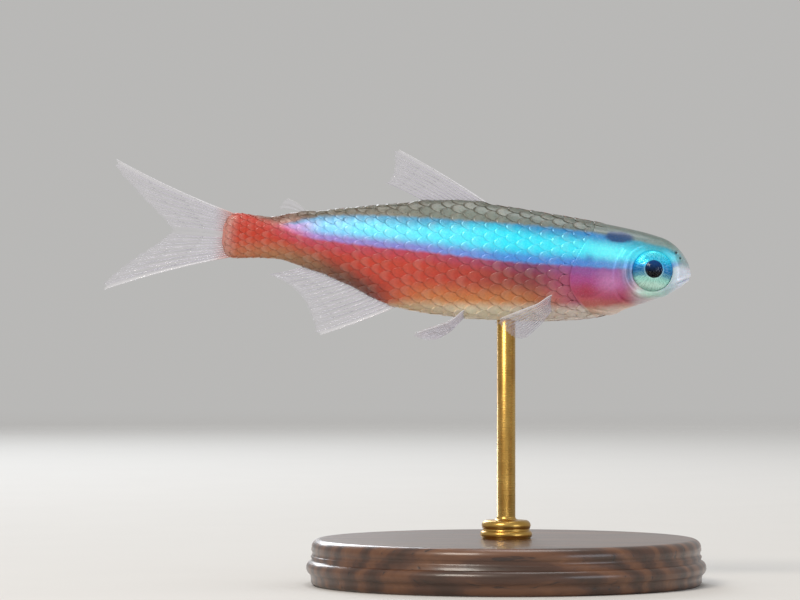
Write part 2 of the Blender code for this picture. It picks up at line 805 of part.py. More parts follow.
def main():
    for thing in list(bpy.data.objects):
        bpy.data.objects.remove(thing, do_unlink=True)
    builder = Builder({
        "head": paint("head_skin", (0.30, 0.32, 0.26), 0.35),
        "cover": paint("gill_cover_skin", (0.55, 0.08, 0.16), 0.25, 0.2),
        "trunk": paint("trunk_skin", (0.60, 0.07, 0.04), 0.35),
        "tail": paint("tail_skin", (0.68, 0.06, 0.03), 0.35),
        "eye": paint("eye", (0.10, 0.55, 0.60), 0.08),
        "fin": paint("fin_membrane", (0.62, 0.60, 0.66), 0.3),
        "base": paint("lacquered_walnut", (0.16, 0.08, 0.04), 0.3),
        "rod": paint("polished_brass", (0.75, 0.55, 0.24), 0.25, 1.0),
    })
    chance = random.Random(SEED)
    make_head(builder)
    make_trunk(builder)
    make_tail(builder)
    make_midline_fins(builder, chance)
    make_tail_fin(builder, chance)
    for name, side in (("left", 1), ("right", -1)):
        make_gill_cover(f"gill_cover_{name}", side, builder)
        make_eye(f"eye_{name}", side, builder)
        make_paired_fin(f"pectoral_fin_{name}", PECTORAL, side, builder, chance)
        make_paired_fin(f"pelvic_fin_{name}", PELVIC, side, builder, chance)
    make_base(builder)
    make_rod(builder)


main()
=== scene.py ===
"""The looks of a life-size cardinal tetra on a display stand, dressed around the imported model.

The fish heads along +X with its left side towards +Y. Its skin, scales, fins and markings are
worked out from the same outlines as the solids: a place is counted along the body, in body
lengths from the snout, a height from the body's axis, and an angle round a section from the
left side, 0, over the back. Lengths are in metres.
"""

import math
from dataclasses import dataclass

import bpy
import numpy as np
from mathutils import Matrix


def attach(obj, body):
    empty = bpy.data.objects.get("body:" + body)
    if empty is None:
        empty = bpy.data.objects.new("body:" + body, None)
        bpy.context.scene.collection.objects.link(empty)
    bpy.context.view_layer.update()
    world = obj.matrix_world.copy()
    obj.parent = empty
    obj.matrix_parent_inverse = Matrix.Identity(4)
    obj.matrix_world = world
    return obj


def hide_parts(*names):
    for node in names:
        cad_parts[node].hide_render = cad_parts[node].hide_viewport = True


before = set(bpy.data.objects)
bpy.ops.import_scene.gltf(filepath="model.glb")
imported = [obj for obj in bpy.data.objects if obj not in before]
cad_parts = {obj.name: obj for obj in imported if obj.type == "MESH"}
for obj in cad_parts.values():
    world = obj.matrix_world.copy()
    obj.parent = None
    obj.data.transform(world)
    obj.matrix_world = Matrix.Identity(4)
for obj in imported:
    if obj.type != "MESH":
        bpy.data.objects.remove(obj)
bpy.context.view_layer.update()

MM = 0.001
SEED = 11

# The body's size and pose, as in the solids
BODY_LENGTH = 30 * MM
GAP = 0.3 * MM
NOSE_DOWN = math.radians(5.2)
TAIL_SWING = 1.1 * MM
SWING_FROM = 0.5
TAIL_TIP = 1.28
AXIS_HEIGHT = 21 * MM
BALANCE = 0.40
NOSE_HEIGHT = 0.005
NOSE_ROUNDING = 0.07
BACK = ((0.0, 0.060), (0.06, 0.075), (0.12, 0.087), (0.25, 0.101), (0.47, 0.115), (0.62, 0.102),
        (0.78, 0.074), (0.86, 0.056), (0.92, 0.045), (1.0, 0.048))
BELLY = ((0.0, 0.032), (0.05, 0.049), (0.10, 0.070), (0.16, 0.096), (0.23, 0.115), (0.36, 0.130),
         (0.48, 0.134), (0.60, 0.128), (0.66, 0.111), (0.77, 0.069), (0.86, 0.047), (0.92, 0.044),
         (1.0, 0.052))
HALF_WIDTH = ((0.0, 0.036), (0.05, 0.047), (0.10, 0.056), (0.20, 0.066), (0.35, 0.069),
              (0.50, 0.064), (0.65, 0.049), (0.80, 0.031), (0.92, 0.019), (1.0, 0.014))
WIDEST = ((0.0, 0.002), (0.10, 0.004), (0.30, -0.006), (0.50, -0.014), (0.70, -0.006),
          (0.85, 0.003), (1.0, 0.002))
FULLNESS = ((0.0, 2.2), (0.08, 2.5), (0.25, 2.3), (0.50, 2.1), (1.0, 2.1))
GILL_EDGE = ((-1.0, 0.165), (-0.75, 0.222), (-0.2, 0.262), (0.35, 0.243), (0.7, 0.222),
             (1.0, 0.215))
HEAD_LENGTH = 0.24
EDGE_BLEND_FROM = 0.35

# The skin: its grid, and the flesh that rounds off over the root of the tail fin
SKIN_COLUMNS = 288
HEAD_STEP = 0.05 * MM
BODY_ROWS = 150
FLESH_ROUNDS = 0.984
FLESH_OVERLAP = 0.018
FLESH_CLOSES = 0.985
END_NARROWS = 0.75

# The gill cover's free edge stands over the shoulder, from the throat to above the flank
FLAP_LOW = math.radians(-86)
FLAP_HIGH = math.radians(46)
FLAP_FADES = math.radians(16)
FLAP_RISE = 0.10 * MM
FLAP_SINK = 0.13 * MM
FLAP_FROM = 0.62
SLIT_UNDER = 0.002
SLIT_FLOOR = 0.004
SLIT_ENDS = 0.02
SLIT_LEFT = 0.3

# Fine lines of the head as side-view curves of (place, height), with a depth and a width
HEAD_LINES = (
    (((0.150, 0.048), (0.163, 0.020), (0.166, -0.015), (0.158, -0.046), (0.136, -0.064),
      (0.105, -0.063)), 0.045 * MM, 0.10 * MM),
    (((0.168, -0.030), (0.190, -0.048), (0.214, -0.060), (0.236, -0.062)), 0.03 * MM, 0.09 * MM),
    (((0.112, -0.073), (0.142, -0.082), (0.172, -0.086), (0.202, -0.084)), 0.025 * MM, 0.07 * MM),
    (((0.140, 0.032), (0.146, 0.004), (0.140, -0.024), (0.122, -0.048), (0.096, -0.056),
      (0.070, -0.050)), 0.035 * MM, 0.07 * MM),
    (((0.036, -0.024), (0.046, -0.036), (0.054, -0.046)), -0.045 * MM, 0.12 * MM),
)

# The mouth, its lips and the nostrils
MOUTH_END = 0.027
MOUTH_RISE = -0.004
MOUTH_SLOPE = -0.55
MOUTH_DEPTH = 0.17 * MM
MOUTH_OPEN = 0.045 * MM
LIP_APART = 0.15 * MM
LIP_RISE = 0.055 * MM
LIP_WIDTH = 0.11 * MM
NOSTRILS = ((0.026, 0.041, 0.07 * MM), (0.036, 0.052, 0.09 * MM))
NOSTRIL_DEPTH = 0.18 * MM
NOSTRIL_RIM = 0.03 * MM

# The eyes, and the sockets in the skin
EYE_PLACE = 0.085
EYE_HEIGHT = 0.008
EYE_RADIUS = 1.38 * MM
EYE_OUT = 1.12 * MM
EYE_DOME = 0.78 * MM
EYE_DEPTH = 0.55 * MM
EYE_FORWARD = math.radians(8)
ORBIT_RADIUS = 1.26 * MM
ORBIT_WALL = 0.07 * MM
ORBIT_REACH = 0.62 * MM
ORBIT_RIM = 0.035 * MM
ORBIT_LIP = 0.05 * MM
ORBIT_FLOOR = -0.25 * MM
SOCKET_REACH = 2.4 * MM
PUPIL_RADIUS = 0.57 * MM
PUPIL_RAISED = 0.13 * MM
LENS_PROUD = 0.10 * MM
IRIS_EDGE = 0.94
IRIS_SUNK = 0.12 * MM
CORNEA_EDGE = 0.95
CORNEA_PROUD = 0.006 * MM
CORNEA_INSIDE = 0.012 * MM
EYE_STEPS = 96

# Low ridges of muscle that the fins grow from, and swellings under the paired fins
RIDGE_BEFORE = 0.03
RIDGE_AFTER = 0.04
RIDGE_RISE = 0.14 * MM
RIDGE_WIDTH = 0.42 * MM
SWELLING_RISE = 0.12 * MM
SWELLING_WIDTH = 0.7 * MM

# The scales: lengths and heights along the body, and how they lie on the skin
SCALE_LENGTH = ((0.16, 0.62), (0.30, 0.72), (0.60, 0.70), (0.85, 0.58), (1.0, 0.44))
SCALE_HEIGHT = ((0.16, 0.60), (0.30, 0.74), (0.60, 0.72), (0.85, 0.50), (1.0, 0.42))
SCALE_OVERLAP = 1.55
SCALE_WIDER = 1.12
SCALE_THICK = 0.024 * MM
SCALE_ROOT = -0.035 * MM
SCALE_EDGE = 0.036 * MM
SCALE_CROWN = 0.006 * MM
SCALE_RISES = 0.8
SCALE_ROUND = 0.80
SCALE_NARROWS = 0.18
SCALE_BULGE = 2.2
SCALE_VARIES = (0.05, 0.03, 0.15)
SCALE_ROWS = 6
SCALE_COLUMNS = 8
RIDGE_CLEAR = 0.42
SCALES_START = -0.030
SCALES_END = 1.004
GIRTH_FROM = 0.12
GIRTH_TO = 1.03
BAKE_PATCH = 0.003

# The fins: how rays fork, taper and stand in their membrane
FIRST_FORK = 0.40
SECOND_FORK = 0.68
FIRST_SPREAD = 0.25
SECOND_SPREAD = 0.125
RAY_ROOT = 0.062 * MM
RAY_TIP = 0.016 * MM
RAY_TAPERS = 0.8
RAY_CLOSE = 0.36
BRANCH_THINNER = (1.0, 0.74, 0.56)
RAY_STEPS = 14
RAY_SIDES = 6
RAY_SUNK = 0.55 * MM
MEMBRANE_ROOT = 0.035 * MM
MEMBRANE_TIP = 0.014 * MM
MEMBRANE_PLEAT = 0.05 * MM
MEMBRANE_NOTCH = 0.022
MEMBRANE_ROWS = 22
MEMBRANE_COLUMNS = 6
LEADING_SHORT = 0.93
LENGTH_VARIES = 0.02
ANAL_SLANT = 1.25
RAY_RIDGE = 0.1 * MM
ROOT_BENDS = 0.045
ROOT_BURIED = 0.08 * MM
FIN_THICK = 0.5 * MM

# The stand
BASE_RADIUS = 13 * MM
BASE_HEIGHT = 3 * MM
BASE_EDGE = ((0.9 * MM, 2.45 * MM, 0.55 * MM, 90, 8), (0.12 * MM, 2.1 * MM, 0.28 * MM, 140, 230),
             (0.5 * MM, 1.15 * MM, 0.5 * MM, 75, -60))
BASE_FOOT = ((0.3 * MM, 0.5 * MM), (0.3 * MM, 0.2 * MM), (0.5 * MM, 0.0))
ROD_RADIUS = 0.6 * MM
COLLAR_RADIUS = 1.7 * MM
COLLAR_HEIGHT = 1.2 * MM

# Markings of the flank as curves of (place, height), with places from 0 to 1
STRIPE_TOP = ((0.0, 0.034), (0.05, 0.058), (0.105, 0.067), (0.24, 0.079), (0.45, 0.081),
              (0.60, 0.077), (0.78, 0.065), (0.84, 0.053), (0.885, 0.038), (1.0, 0.010))
STRIPE_LOW = ((0.0, 0.034), (0.05, 0.018), (0.105, 0.010), (0.24, 0.004), (0.40, 0.000),
              (0.55, 0.004), (0.78, 0.009), (0.84, 0.014), (0.885, 0.026), (1.0, 0.050))
RED_LOW = ((0.0, -0.010), (0.13, -0.060), (0.24, -0.086), (0.376, -0.096), (0.50, -0.106),
           (0.635, -0.116), (0.70, -0.150), (1.0, -0.150))
BACK_LOW = ((0.0, 0.020), (0.40, 0.060), (0.80, 0.046), (0.86, 0.038), (0.91, 0.038),
            (0.95, 0.047), (1.0, 0.080))
GILL_CORNER = (0.158, 0.046)
SHOULDER = ((0.38, 0.165), (0.415, 0.222), (0.47, 0.262), (0.54, 0.243), (0.575, 0.222),
            (0.605, 0.215))

# The stage. Each lamp has a name, a place, a size, a power and a colour
FLOOR_RADIUS = 0.6
FLOOR_FADE = (0.12, 0.5)
CAMERA_HALF_WIDTH = 26 * MM
CAMERA_AIM = (-6.9 * MM, 18.5 * MM)
CAMERA_HALF_ANGLE = math.radians(5)
LAMPS = (("key", (-0.20, -0.30, 0.34), 0.16, 1.15, "fff6ea"),
         ("fill", (0.30, -0.26, 0.05), 0.20, 0.38, "eaf3ff"),
         ("top", (0.04, 0.04, 0.38), 0.18, 0.36, "ffffff"),
         ("rim", (-0.10, 0.30, 0.16), 0.14, 0.42, "f2f8ff"))
SURROUND = ("f1f0ee", 0.55)


@dataclass
class Fin:
    """A fin's sizes in body lengths, how its rays lean and bend in degrees, and which fork."""

    count: int
    start: float
    end: float
    longest: float
    shortest: float
    falloff: float
    leans: tuple
    bends: tuple
    plain_rays: int
    root: tuple = (0.0, 0.0)
    stands_out: float = 0.0
    droops: float = 0.0
    web: float = 0.0


DORSAL = Fin(11, 0.468, 0.598, longest=0.222, shortest=0.082, falloff=1.3, leans=(29, 22),
             bends=(-6, -6), plain_rays=2)
FATTY = Fin(5, 0.846, 0.868, longest=0.046, shortest=0.034, falloff=1.0, leans=(42, 12),
            bends=(-30, -30), plain_rays=5)
ANAL = Fin(20, 0.641, 0.846, longest=0.174, shortest=0.066, falloff=1.9, leans=(-28, -18),
           bends=(5, 5), plain_rays=3)
TAIL_LOBE = Fin(10, 0.0, 0.0, longest=0.295, shortest=0.130, falloff=1.3, leans=(16, 1.5),
                bends=(8, 1), plain_rays=1, web=1.0)
PECTORAL = Fin(11, -0.017, 0.017, longest=0.150, shortest=0.085, falloff=0.7, leans=(-9, 17),
               bends=(4, 4), plain_rays=1, root=(0.292, -0.078), stands_out=34, droops=16)
PELVIC = Fin(8, -0.012, 0.012, longest=0.130, shortest=0.072, falloff=0.8, leans=(-10, 10),
             bends=(4, 4), plain_rays=1, root=(0.475, -0.119), stands_out=30, droops=8)


def curve_through(stations, place):
    """Heights at one or many places of a smooth curve through the given stations."""
    places, heights = np.array(stations, float).T
    count = len(places)
    first = np.clip(np.searchsorted(places, place, side="right") - 1, 0, count - 2)
    before = np.maximum(np.arange(count) - 1, 0)
    after = np.minimum(np.arange(count) + 1, count - 1)
    slopes = (heights[after] - heights[before]) / (places[after] - places[before])
    span = places[first + 1] - places[first]
    t = np.clip((place - places[first]) / span, 0, 1)
    rest = 1 - t
    eased = (1 + 2 * t) * rest ** 2 * heights[first] + t ** 2 * (3 - 2 * t) * heights[first + 1]
    return eased + span * t * rest * (rest * slopes[first] - t * slopes[first + 1])


def smooth(value, low, high):
    """0 below low, 1 above high, and an even curve between."""
    t = np.clip((value - low) / (high - low), 0, 1)
    return t * t * (3 - 2 * t)


def hump(distance, width):
    return np.exp(-(distance / width) ** 2)


def nose_round(place):
    from_full = 1 - np.minimum(place / NOSE_ROUNDING, 1)
    return np.sqrt(np.maximum(1 - from_full ** 2, 0))


def tail_round(place):
    over = np.clip((place - FLESH_ROUNDS) / (1 + FLESH_OVERLAP - FLESH_ROUNDS), 0, 1)
    return np.sqrt(1 - over ** 2)


def top_of(place):
    return NOSE_HEIGHT + curve_through(BACK, place) * nose_round(place)


def bottom_of(place):
    return NOSE_HEIGHT - curve_through(BELLY, place) * nose_round(place)


def widest_of(place):
    opened = nose_round(place)
    return NOSE_HEIGHT * (1 - opened) + curve_through(WIDEST, place) * opened


def flank(place, angle):
    """Points of the skin of the unposed fish."""
    place, angle = np.broadcast_arrays(np.asarray(place, float), np.asarray(angle, float))
    middle = widest_of(place)
    half = curve_through(HALF_WIDTH, place) * nose_round(place) * tail_round(place)
    power = 2 / curve_through(FULLNESS, place)
    across, upward = np.cos(angle), np.sin(angle)
    reach = np.where(upward > 0, top_of(place) - middle, middle - bottom_of(place))
    reach = reach * (1 - END_NARROWS * (1 - tail_round(place)))
    y = half * np.sign(across) * np.abs(across) ** power
    z = middle + reach * np.sign(upward) * np.abs(upward) ** power
    return np.stack((BALANCE - place, y, z), -1) * BODY_LENGTH


def unit(vectors):
    return vectors / np.maximum(np.linalg.norm(vectors, axis=-1, keepdims=True), 1e-12)


def outward(place, angle):
    """The directions that the skin faces."""
    step = 0.002
    along = flank(place + step, angle) - flank(np.maximum(place - step, 0), angle)
    around = flank(place, angle + step) - flank(place, angle - step)
    return unit(np.cross(along, around))


def side_point(place, height):
    """The angle at which the left side has this height."""
    middle = widest_of(place)
    reach = np.where(height > middle, top_of(place) - middle, middle - bottom_of(place))
    share = np.clip((height - middle) / reach, -1, 1)
    power = curve_through(FULLNESS, place) / 2
    return np.arcsin(np.sign(share) * np.abs(share) ** power)


def gill_edge(angle):
    return curve_through(GILL_EDGE, np.sin(angle))


def head_place(share, angle):
    """How far back a share of the head's length lies, so that the last row is the gill edge."""
    blend = smooth(share, EDGE_BLEND_FROM, 1)
    return share * (HEAD_LENGTH + (gill_edge(angle) - HEAD_LENGTH) * blend)


def posed(points):
    """Points of the unposed fish, moved to where it swims above the stand."""
    x, y, z = np.moveaxis(points, -1, 0)
    swing = np.maximum(BALANCE - x / BODY_LENGTH - SWING_FROM, 0) / (TAIL_TIP - SWING_FROM)
    y = y + TAIL_SWING * swing ** 2
    level, down = math.cos(NOSE_DOWN), math.sin(NOSE_DOWN)
    return np.stack((x * level + z * down, y, z * level - x * down + AXIS_HEIGHT), -1)


def piece(name, points, faces, material, nodes=(), uvs=None):
    """A smooth mesh object that rides on the body. uvs holds a (u, v) for each point by map."""
    mesh = bpy.data.meshes.new(name)
    mesh.from_pydata(points.reshape(-1, 3).tolist(), [], faces)
    for map_name, places in (uvs or {}).items():
        layer = mesh.uv_layers.new(name=map_name)
        corners = np.zeros(len(mesh.loops), np.int32)
        mesh.loops.foreach_get("vertex_index", corners)
        layer.data.foreach_set("uv", places.reshape(-1, 2)[corners].astype(np.float32).ravel())
    mesh.shade_smooth()
    mesh.materials.append(material)
    thing = bpy.data.objects.new(name, mesh)
    bpy.context.scene.collection.objects.link(thing)
    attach(thing, "root")
    if nodes:
        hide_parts(*nodes)


def sheet_faces(rows, columns, first=0, below=False):
    """Faces of a sheet of points from the first on, turned over for the lower side."""
    faces = []
    for row in range(rows):
        for column in range(columns):
            near = first + row * (columns + 1) + column
            far = near + columns + 1
            corners = (near, near + 1, far + 1, far)
            faces.append(corners[::-1] if below else corners)
    return faces


def slab_faces(rows, columns, first=0):
    """Faces of a thin closed sheet: its upper points come first, then as many lower ones."""
    wide = columns + 1
    depth = wide * (rows + 1)
    faces = sheet_faces(rows, columns, first)
    faces += sheet_faces(rows, columns, first + depth, below=True)
    rim = list(range(wide))
    rim += [row * wide + columns for row in range(1, rows + 1)]
    rim += [rows * wide + column for column in range(columns - 1, -1, -1)]
    rim += [row * wide for row in range(rows - 1, 0, -1)]
    for index, start in enumerate(rim):
        end = rim[(index + 1) % len(rim)]
        faces.append((first + start, first + start + depth, first + end + depth, first + end))
    return faces


def tube_faces(rows, sides, first=0):
    """Faces of a closed tube of rings of points, with a flat cap at each end."""
    faces = []
    for row in range(rows - 1):
        for side in range(sides):
            after = (side + 1) % sides
            near = first + row * sides
            faces.append((near + side, near + after, near + sides + after, near + sides + side))
    last = first + (rows - 1) * sides
    faces.append(tuple(first + side for side in reversed(range(sides))))
    faces.append(tuple(last + side for side in range(sides)))
    return faces


class Value:
    """A number, colour or vector in a finish, for writing its maths as expressions."""

    def __init__(self, finish, socket):
        self.finish = finish
        self.socket = socket

    def math(self, operation, *inputs):
        return self.finish.node("ShaderNodeMath", {"operation": operation}, inputs)

    def __add__(self, other):
        return self.math("ADD", self, other)

    def __sub__(self, other):
        return self.math("SUBTRACT", self, other)

    def __mul__(self, other):
        return self.math("MULTIPLY", self, other)

    def __truediv__(self, other):
        return self.math("DIVIDE", self, other)

    def __radd__(self, other):
        return self.math("ADD", other, self)

    def __rsub__(self, other):
        return self.math("SUBTRACT", other, self)

    def __rmul__(self, other):
        return self.math("MULTIPLY", other, self)

    def __pow__(self, power):
        return self.math("POWER", self, power)

    def __abs__(self):
        return self.math("ABSOLUTE", self)

    def between(self, low, high):
        """0 at low, 1 at high and a smooth curve between. Low may be the larger one."""
        settings = {"interpolation_type": "SMOOTHSTEP"}
        return self.finish.node("ShaderNodeMapRange", settings,
                                {"Value": self, "From Min": low, "From Max": high})

    def hump(self, middle, width):
        """1 at the middle, falling smoothly to 0 at a width to each side."""
        return abs(self - middle).between(width, 0.0)


class Finish:
    """A material under construction. All its nodes come from one method."""

    def __init__(self, name):
        self.material = bpy.data.materials.new(name)
        self.material.use_nodes = True
        self.tree = self.material.node_tree
        self.tree.nodes.clear()

    def node(self, kind, settings=None, inputs=(), output=0):
        made = self.tree.nodes.new(kind)
        for setting, value in (settings or {}).items():
            if setting == "stops":
                set_stops(made.color_ramp, value)
            elif setting == "curve":
                set_curve(made.mapping, value)
            else:
                setattr(made, setting, value)
        pairs = inputs.items() if isinstance(inputs, dict) else enumerate(inputs)
        for name, value in pairs:
            socket = made.inputs[name]
            if isinstance(value, Value):
                self.tree.links.new(value.socket, socket)
            else:
                socket.default_value = value
        return None if output is None else Value(self, made.outputs[output])

    def wave(self, turns):
        """A sine of so many turns, from 0 to 1."""
        return self.node("ShaderNodeMath", {"operation": "SINE"}, (turns * math.tau,)) * 0.5 + 0.5

    def colour(self, code):
        return (*linear(code), 1.0)

    def blend(self, factor, below, above, way="MIX"):
        """A colour over another by a factor. Colours are values or codes."""
        below, above = (self.colour(c) if isinstance(c, str) else c for c in (below, above))
        settings = {"data_type": "RGBA", "blend_type": way, "clamp_factor": True}
        return self.node("ShaderNodeMix", settings, {0: factor, 6: below, 7: above}, output=2)

    def ramp(self, value, stops):
        return self.node("ShaderNodeValToRGB", {"stops": stops}, {0: value})

    def curve(self, place, stations):
        """The height at a place of a smooth curve through stations, with places from 0 to 1."""
        steps = tuple((x, y + 0.5) for x, y in stations)
        inputs = {"Factor": 1.0, "Value": place}
        return self.node("ShaderNodeFloatCurve", {"curve": steps}, inputs) - 0.5

    def grain(self, size, detail=2.0, where=None, uneven=0.0):
        """Noise of about the given size, from 0 to 1."""
        inputs = {"Vector": where or self.spot(), "Scale": 1 / size, "Detail": detail,
                  "Distortion": uneven}
        return self.node("ShaderNodeTexNoise", None, inputs, output="Fac")

    def dots(self, size, share):
        """Round dots in a share of the cells of the given size, from 0 to 1."""
        cells = {"Vector": self.spot(), "Scale": 1 / size}
        away = self.node("ShaderNodeTexVoronoi", None, cells, output="Distance")
        draw = self.parts_of(Value(self, away.socket.node.outputs["Color"]))[0]
        return away.between(0.34, 0.16) * draw.between(1.01 - share, 1.03 - share)

    def spot(self):
        return self.node("ShaderNodeTexCoord", output="Object")

    def parts_of(self, vector):
        made = self.node("ShaderNodeSeparateXYZ", None, {0: vector})
        outputs = made.socket.node.outputs
        return [Value(self, outputs[k]) for k in range(3)]

    def vector(self, x, y, z):
        return self.node("ShaderNodeCombineXYZ", None, (x, y, z))

    def map_named(self, name):
        """Both parts of a place on a UV map."""
        return self.parts_of(self.node("ShaderNodeUVMap", {"uv_map": name}))[:2]

    def bump(self, height, distance, strength):
        inputs = {"Strength": strength, "Distance": distance, "Height": height}
        return self.node("ShaderNodeBump", None, inputs, output="Normal")

    def shade(self, **sockets):
        """The finished surface. Socket names are written with _ for a space."""
        named = {name.replace("_", " "): value for name, value in sockets.items()}
        surface = self.node("ShaderNodeBsdfPrincipled", None, named)
        self.node("ShaderNodeOutputMaterial", None, {"Surface": surface}, output=None)
        return self.material


def linear(code):
    """A colour written as six hex digits, as linear red, green and blue."""
    shares = [int(code[k:k + 2], 16) / 255 for k in (0, 2, 4)]
    return [s / 12.92 if s < 0.04045 else ((s + 0.055) / 1.055) ** 2.4 for s in shares]


def set_stops(ramp, stops):
    ramp.interpolation = "EASE"
    while len(ramp.elements) < len(stops):
        ramp.elements.new(0.5)
    for element, (place, code) in zip(ramp.elements, stops):
        element.position = place
    for element, (place, code) in zip(ramp.elements, stops):
        element.color = (*linear(code), 1.0)


def set_curve(mapping, stations):
    points = mapping.curves[0].points
    while len(points) < len(stations):
        points.new(0.5, 0.5)
    for point, (place, height) in zip(points, stations):
        point.location = (place, height)
    mapping.update()


def body_chart(finish):
    """Where a point of the posed fish lies along its body and over its axis."""
    x, y, z = finish.parts_of(finish.spot())
    level, down = math.cos(NOSE_DOWN), math.sin(NOSE_DOWN)
    raised = z - AXIS_HEIGHT
    place = BALANCE - (x * level - raised * down) / BODY_LENGTH
    height = (x * down + raised * level) / BODY_LENGTH
    return place, height


def stripe_on(finish, place, height):
    """The neon stripe, bluer at its upper edge and violet below: how much shows, its colour."""
    low = finish.curve(place, STRIPE_LOW)
    top = finish.curve(place, STRIPE_TOP)
    soft = 0.0045
    shows = (height - low).between(-soft, soft) * (top - height).between(-soft, soft)
    shows = shows * place.between(0.014, 0.045) * place.between(0.915, 0.862)
    along = finish.ramp(place, ((0.02, "4fa6b4"), (0.06, "40cde2"), (0.12, "3fdcf2"),
                                (0.18, "62effa"), (0.26, "3ee2f6"), (0.38, "26e4fb"),
                                (0.52, "4ce4fb"), (0.68, "6adffb"), (0.79, "7ecbf6"),
                                (0.86, "b494cc"), (0.92, "cc686e")))
    across = (height - low) / (top - low)
    violet = finish.ramp(place, ((0.10, "5f8cc4"), (0.26, "4a78d0"), (0.38, "4480d6"),
                                 (0.50, "6a80d4"), (0.62, "8474c8"), (0.80, "9c78c6"),
                                 (0.87, "cf6f96")))
    colour = finish.blend(across.between(0.44, 0.10) * 0.92, along, violet)
    edge = finish.ramp(place, ((0.10, "2f8fa4"), (0.20, "2a6cb6"), (0.32, "2a78b4"),
                               (0.45, "2676a2"), (0.80, "4a84a8")))
    narrow = 0.56 + place.hump(0.44, 0.14) * 0.12
    return shows, finish.blend((across - narrow).between(0.0, 0.40) * 0.90, colour, edge)


def back_of(finish, place, height):
    """The grey-olive back, darker and browner towards its ridge."""
    colour = finish.ramp(place, ((0.0, "a3b2b6"), (0.05, "82a09e"), (0.12, "788e8e"),
                                 (0.26, "6f7b76"), (0.50, "7d857c"), (0.80, "8a8072"),
                                 (0.90, "b06c60"), (1.0, "c05040")))
    ridge = finish.curve(place, tuple((x, y + NOSE_HEIGHT) for x, y in BACK))
    return finish.blend((height - ridge).between(-0.022, 0.0) * 0.6, colour, "4a4a38")


def flank_of(finish, place, height):
    """The red of the flank, rose under the stripe and orange lower down, and the pale belly."""
    red = finish.ramp(place, ((0.20, "b45484"), (0.26, "b04c70"), (0.35, "8f3038"),
                              (0.41, "a6382f"), (0.48, "c23e2c"), (0.62, "d2412a"),
                              (0.80, "cb3a26"), (0.96, "cf3c22")))
    edge = finish.curve(place, RED_LOW)
    rear = place.between(0.70, 0.52)
    tan = (edge + 0.062 - height).between(0.0, 0.060) * rear * place.between(0.20, 0.40)
    red = finish.blend(tan * 0.92, red, "ea9654")
    rose = finish.ramp(place, ((0.24, "8a62b4"), (0.36, "7c4a8c"), (0.46, "a4508c"),
                               (0.60, "c04c78"), (0.86, "cc5a80"), (0.94, "cf4038")))
    under = (finish.curve(place, STRIPE_LOW) - height).between(0.034, -0.004)
    red = finish.blend(under * 0.62, red, rose)
    belly = finish.ramp(place, ((0.10, "eaded6"), (0.26, "f8e6d8"), (0.45, "fff0d2"),
                                (0.64, "eec8a0")))
    pale = (edge - height).between(-0.016, 0.010)
    colour = finish.blend(pale, red, belly)
    keel = finish.curve(place, tuple((x, NOSE_HEIGHT - y) for x, y in BELLY))
    margin = (height - keel).between(0.048, 0.004) * place.between(0.625, 0.70)
    brown = finish.ramp(place, ((0.70, "6a3220"), (0.76, "704832"), (0.82, "94704e"),
                                (0.92, "b88658")))
    colour = finish.blend(margin * (0.9 - place.between(0.86, 1.0) * 0.35), colour, brown)
    return finish.blend(place.between(0.978, 1.014) * 0.75, colour, "cf9c92")


def head_of(finish, place, height):
    """The cheek and gill cover, violet over magenta with a painted pink sheen, and the pale jaw."""
    gill = finish.ramp(height * 9.0 + 0.86, ((0.0, "d49a82"), (0.18, "c0625c"), (0.40, "b63e64"),
                                             (0.64, "b04890"), (0.80, "9c56a2"), (0.96, "6f66b8")))
    # A painted pink sheen on the gill cover.
    painted_sheen = place.hump(0.174, 0.048) * height.hump(-0.024, 0.040)
    gill = finish.blend(painted_sheen * 0.55, gill, "dc9cd0")
    crimson = place.hump(0.226, 0.034) * height.hump(-0.050, 0.030)
    gill = finish.blend(crimson * 0.6, gill, "ae2840")
    throat = (height + 0.040 + place * 0.19).between(0.004, -0.014)
    under = finish.ramp(place, ((0.12, "f0cdb4"), (0.165, "f1dfd2"), (0.22, "f0cdb4")))
    gill = finish.blend(throat * 0.85, gill, under)
    # The near-white at the snout tip is the lips' own pale colour, brightened by a painted
    # highlight.
    jaw = finish.ramp(place, ((0.0, "eef0fc"), (0.02, "dfe8f6"), (0.05, "b4cfd6"),
                              (0.085, "d2c8cc"), (0.13, "bfa0a8")))
    mint = place.hump(0.085, 0.055) * height.hump(-0.040, 0.016)
    jaw = finish.blend(mint * 0.8, jaw, "b4ecd8")
    blue = place.hump(0.132, 0.026) * height.hump(-0.002, 0.036)
    head = finish.blend((place - height * 0.35).between(0.122, 0.166), jaw, gill)
    return finish.blend(blue * 0.75, head, "4f86b8")


def with_spots(finish, colour, shows, place, height):
    """The dark patch on the nape and a small blue one on the gill cover."""
    nape = (place.hump(0.163, 0.049) * height.hump(0.074, 0.019)).between(0.12, 0.55) * 0.92
    colour = finish.blend(nape, colour, "0c3c74")
    spot = place.hump(0.224, 0.017) * height.hump(0.023, 0.015)
    colour = finish.blend(spot * 0.6, colour, "2464b8")
    return colour, shows * (1 - nape) * (1 - spot * 0.4)


def with_nostrils(finish, colour, shows, place, height):
    """The nostrils' pits, painted dark as shade, where the stripe stops."""
    for hole_place, hole_height, radius in NOSTRILS:
        along, up = place - hole_place, height - hole_height
        hole = ((along * along + up * up) ** 0.5 * (BODY_LENGTH / radius)).between(1.15, 0.5)
        # Painted shade in each nostril's pit.
        colour = finish.blend(hole * 0.85, colour, "232b30")
        shows = shows * (1 - hole)
    return colour, shows


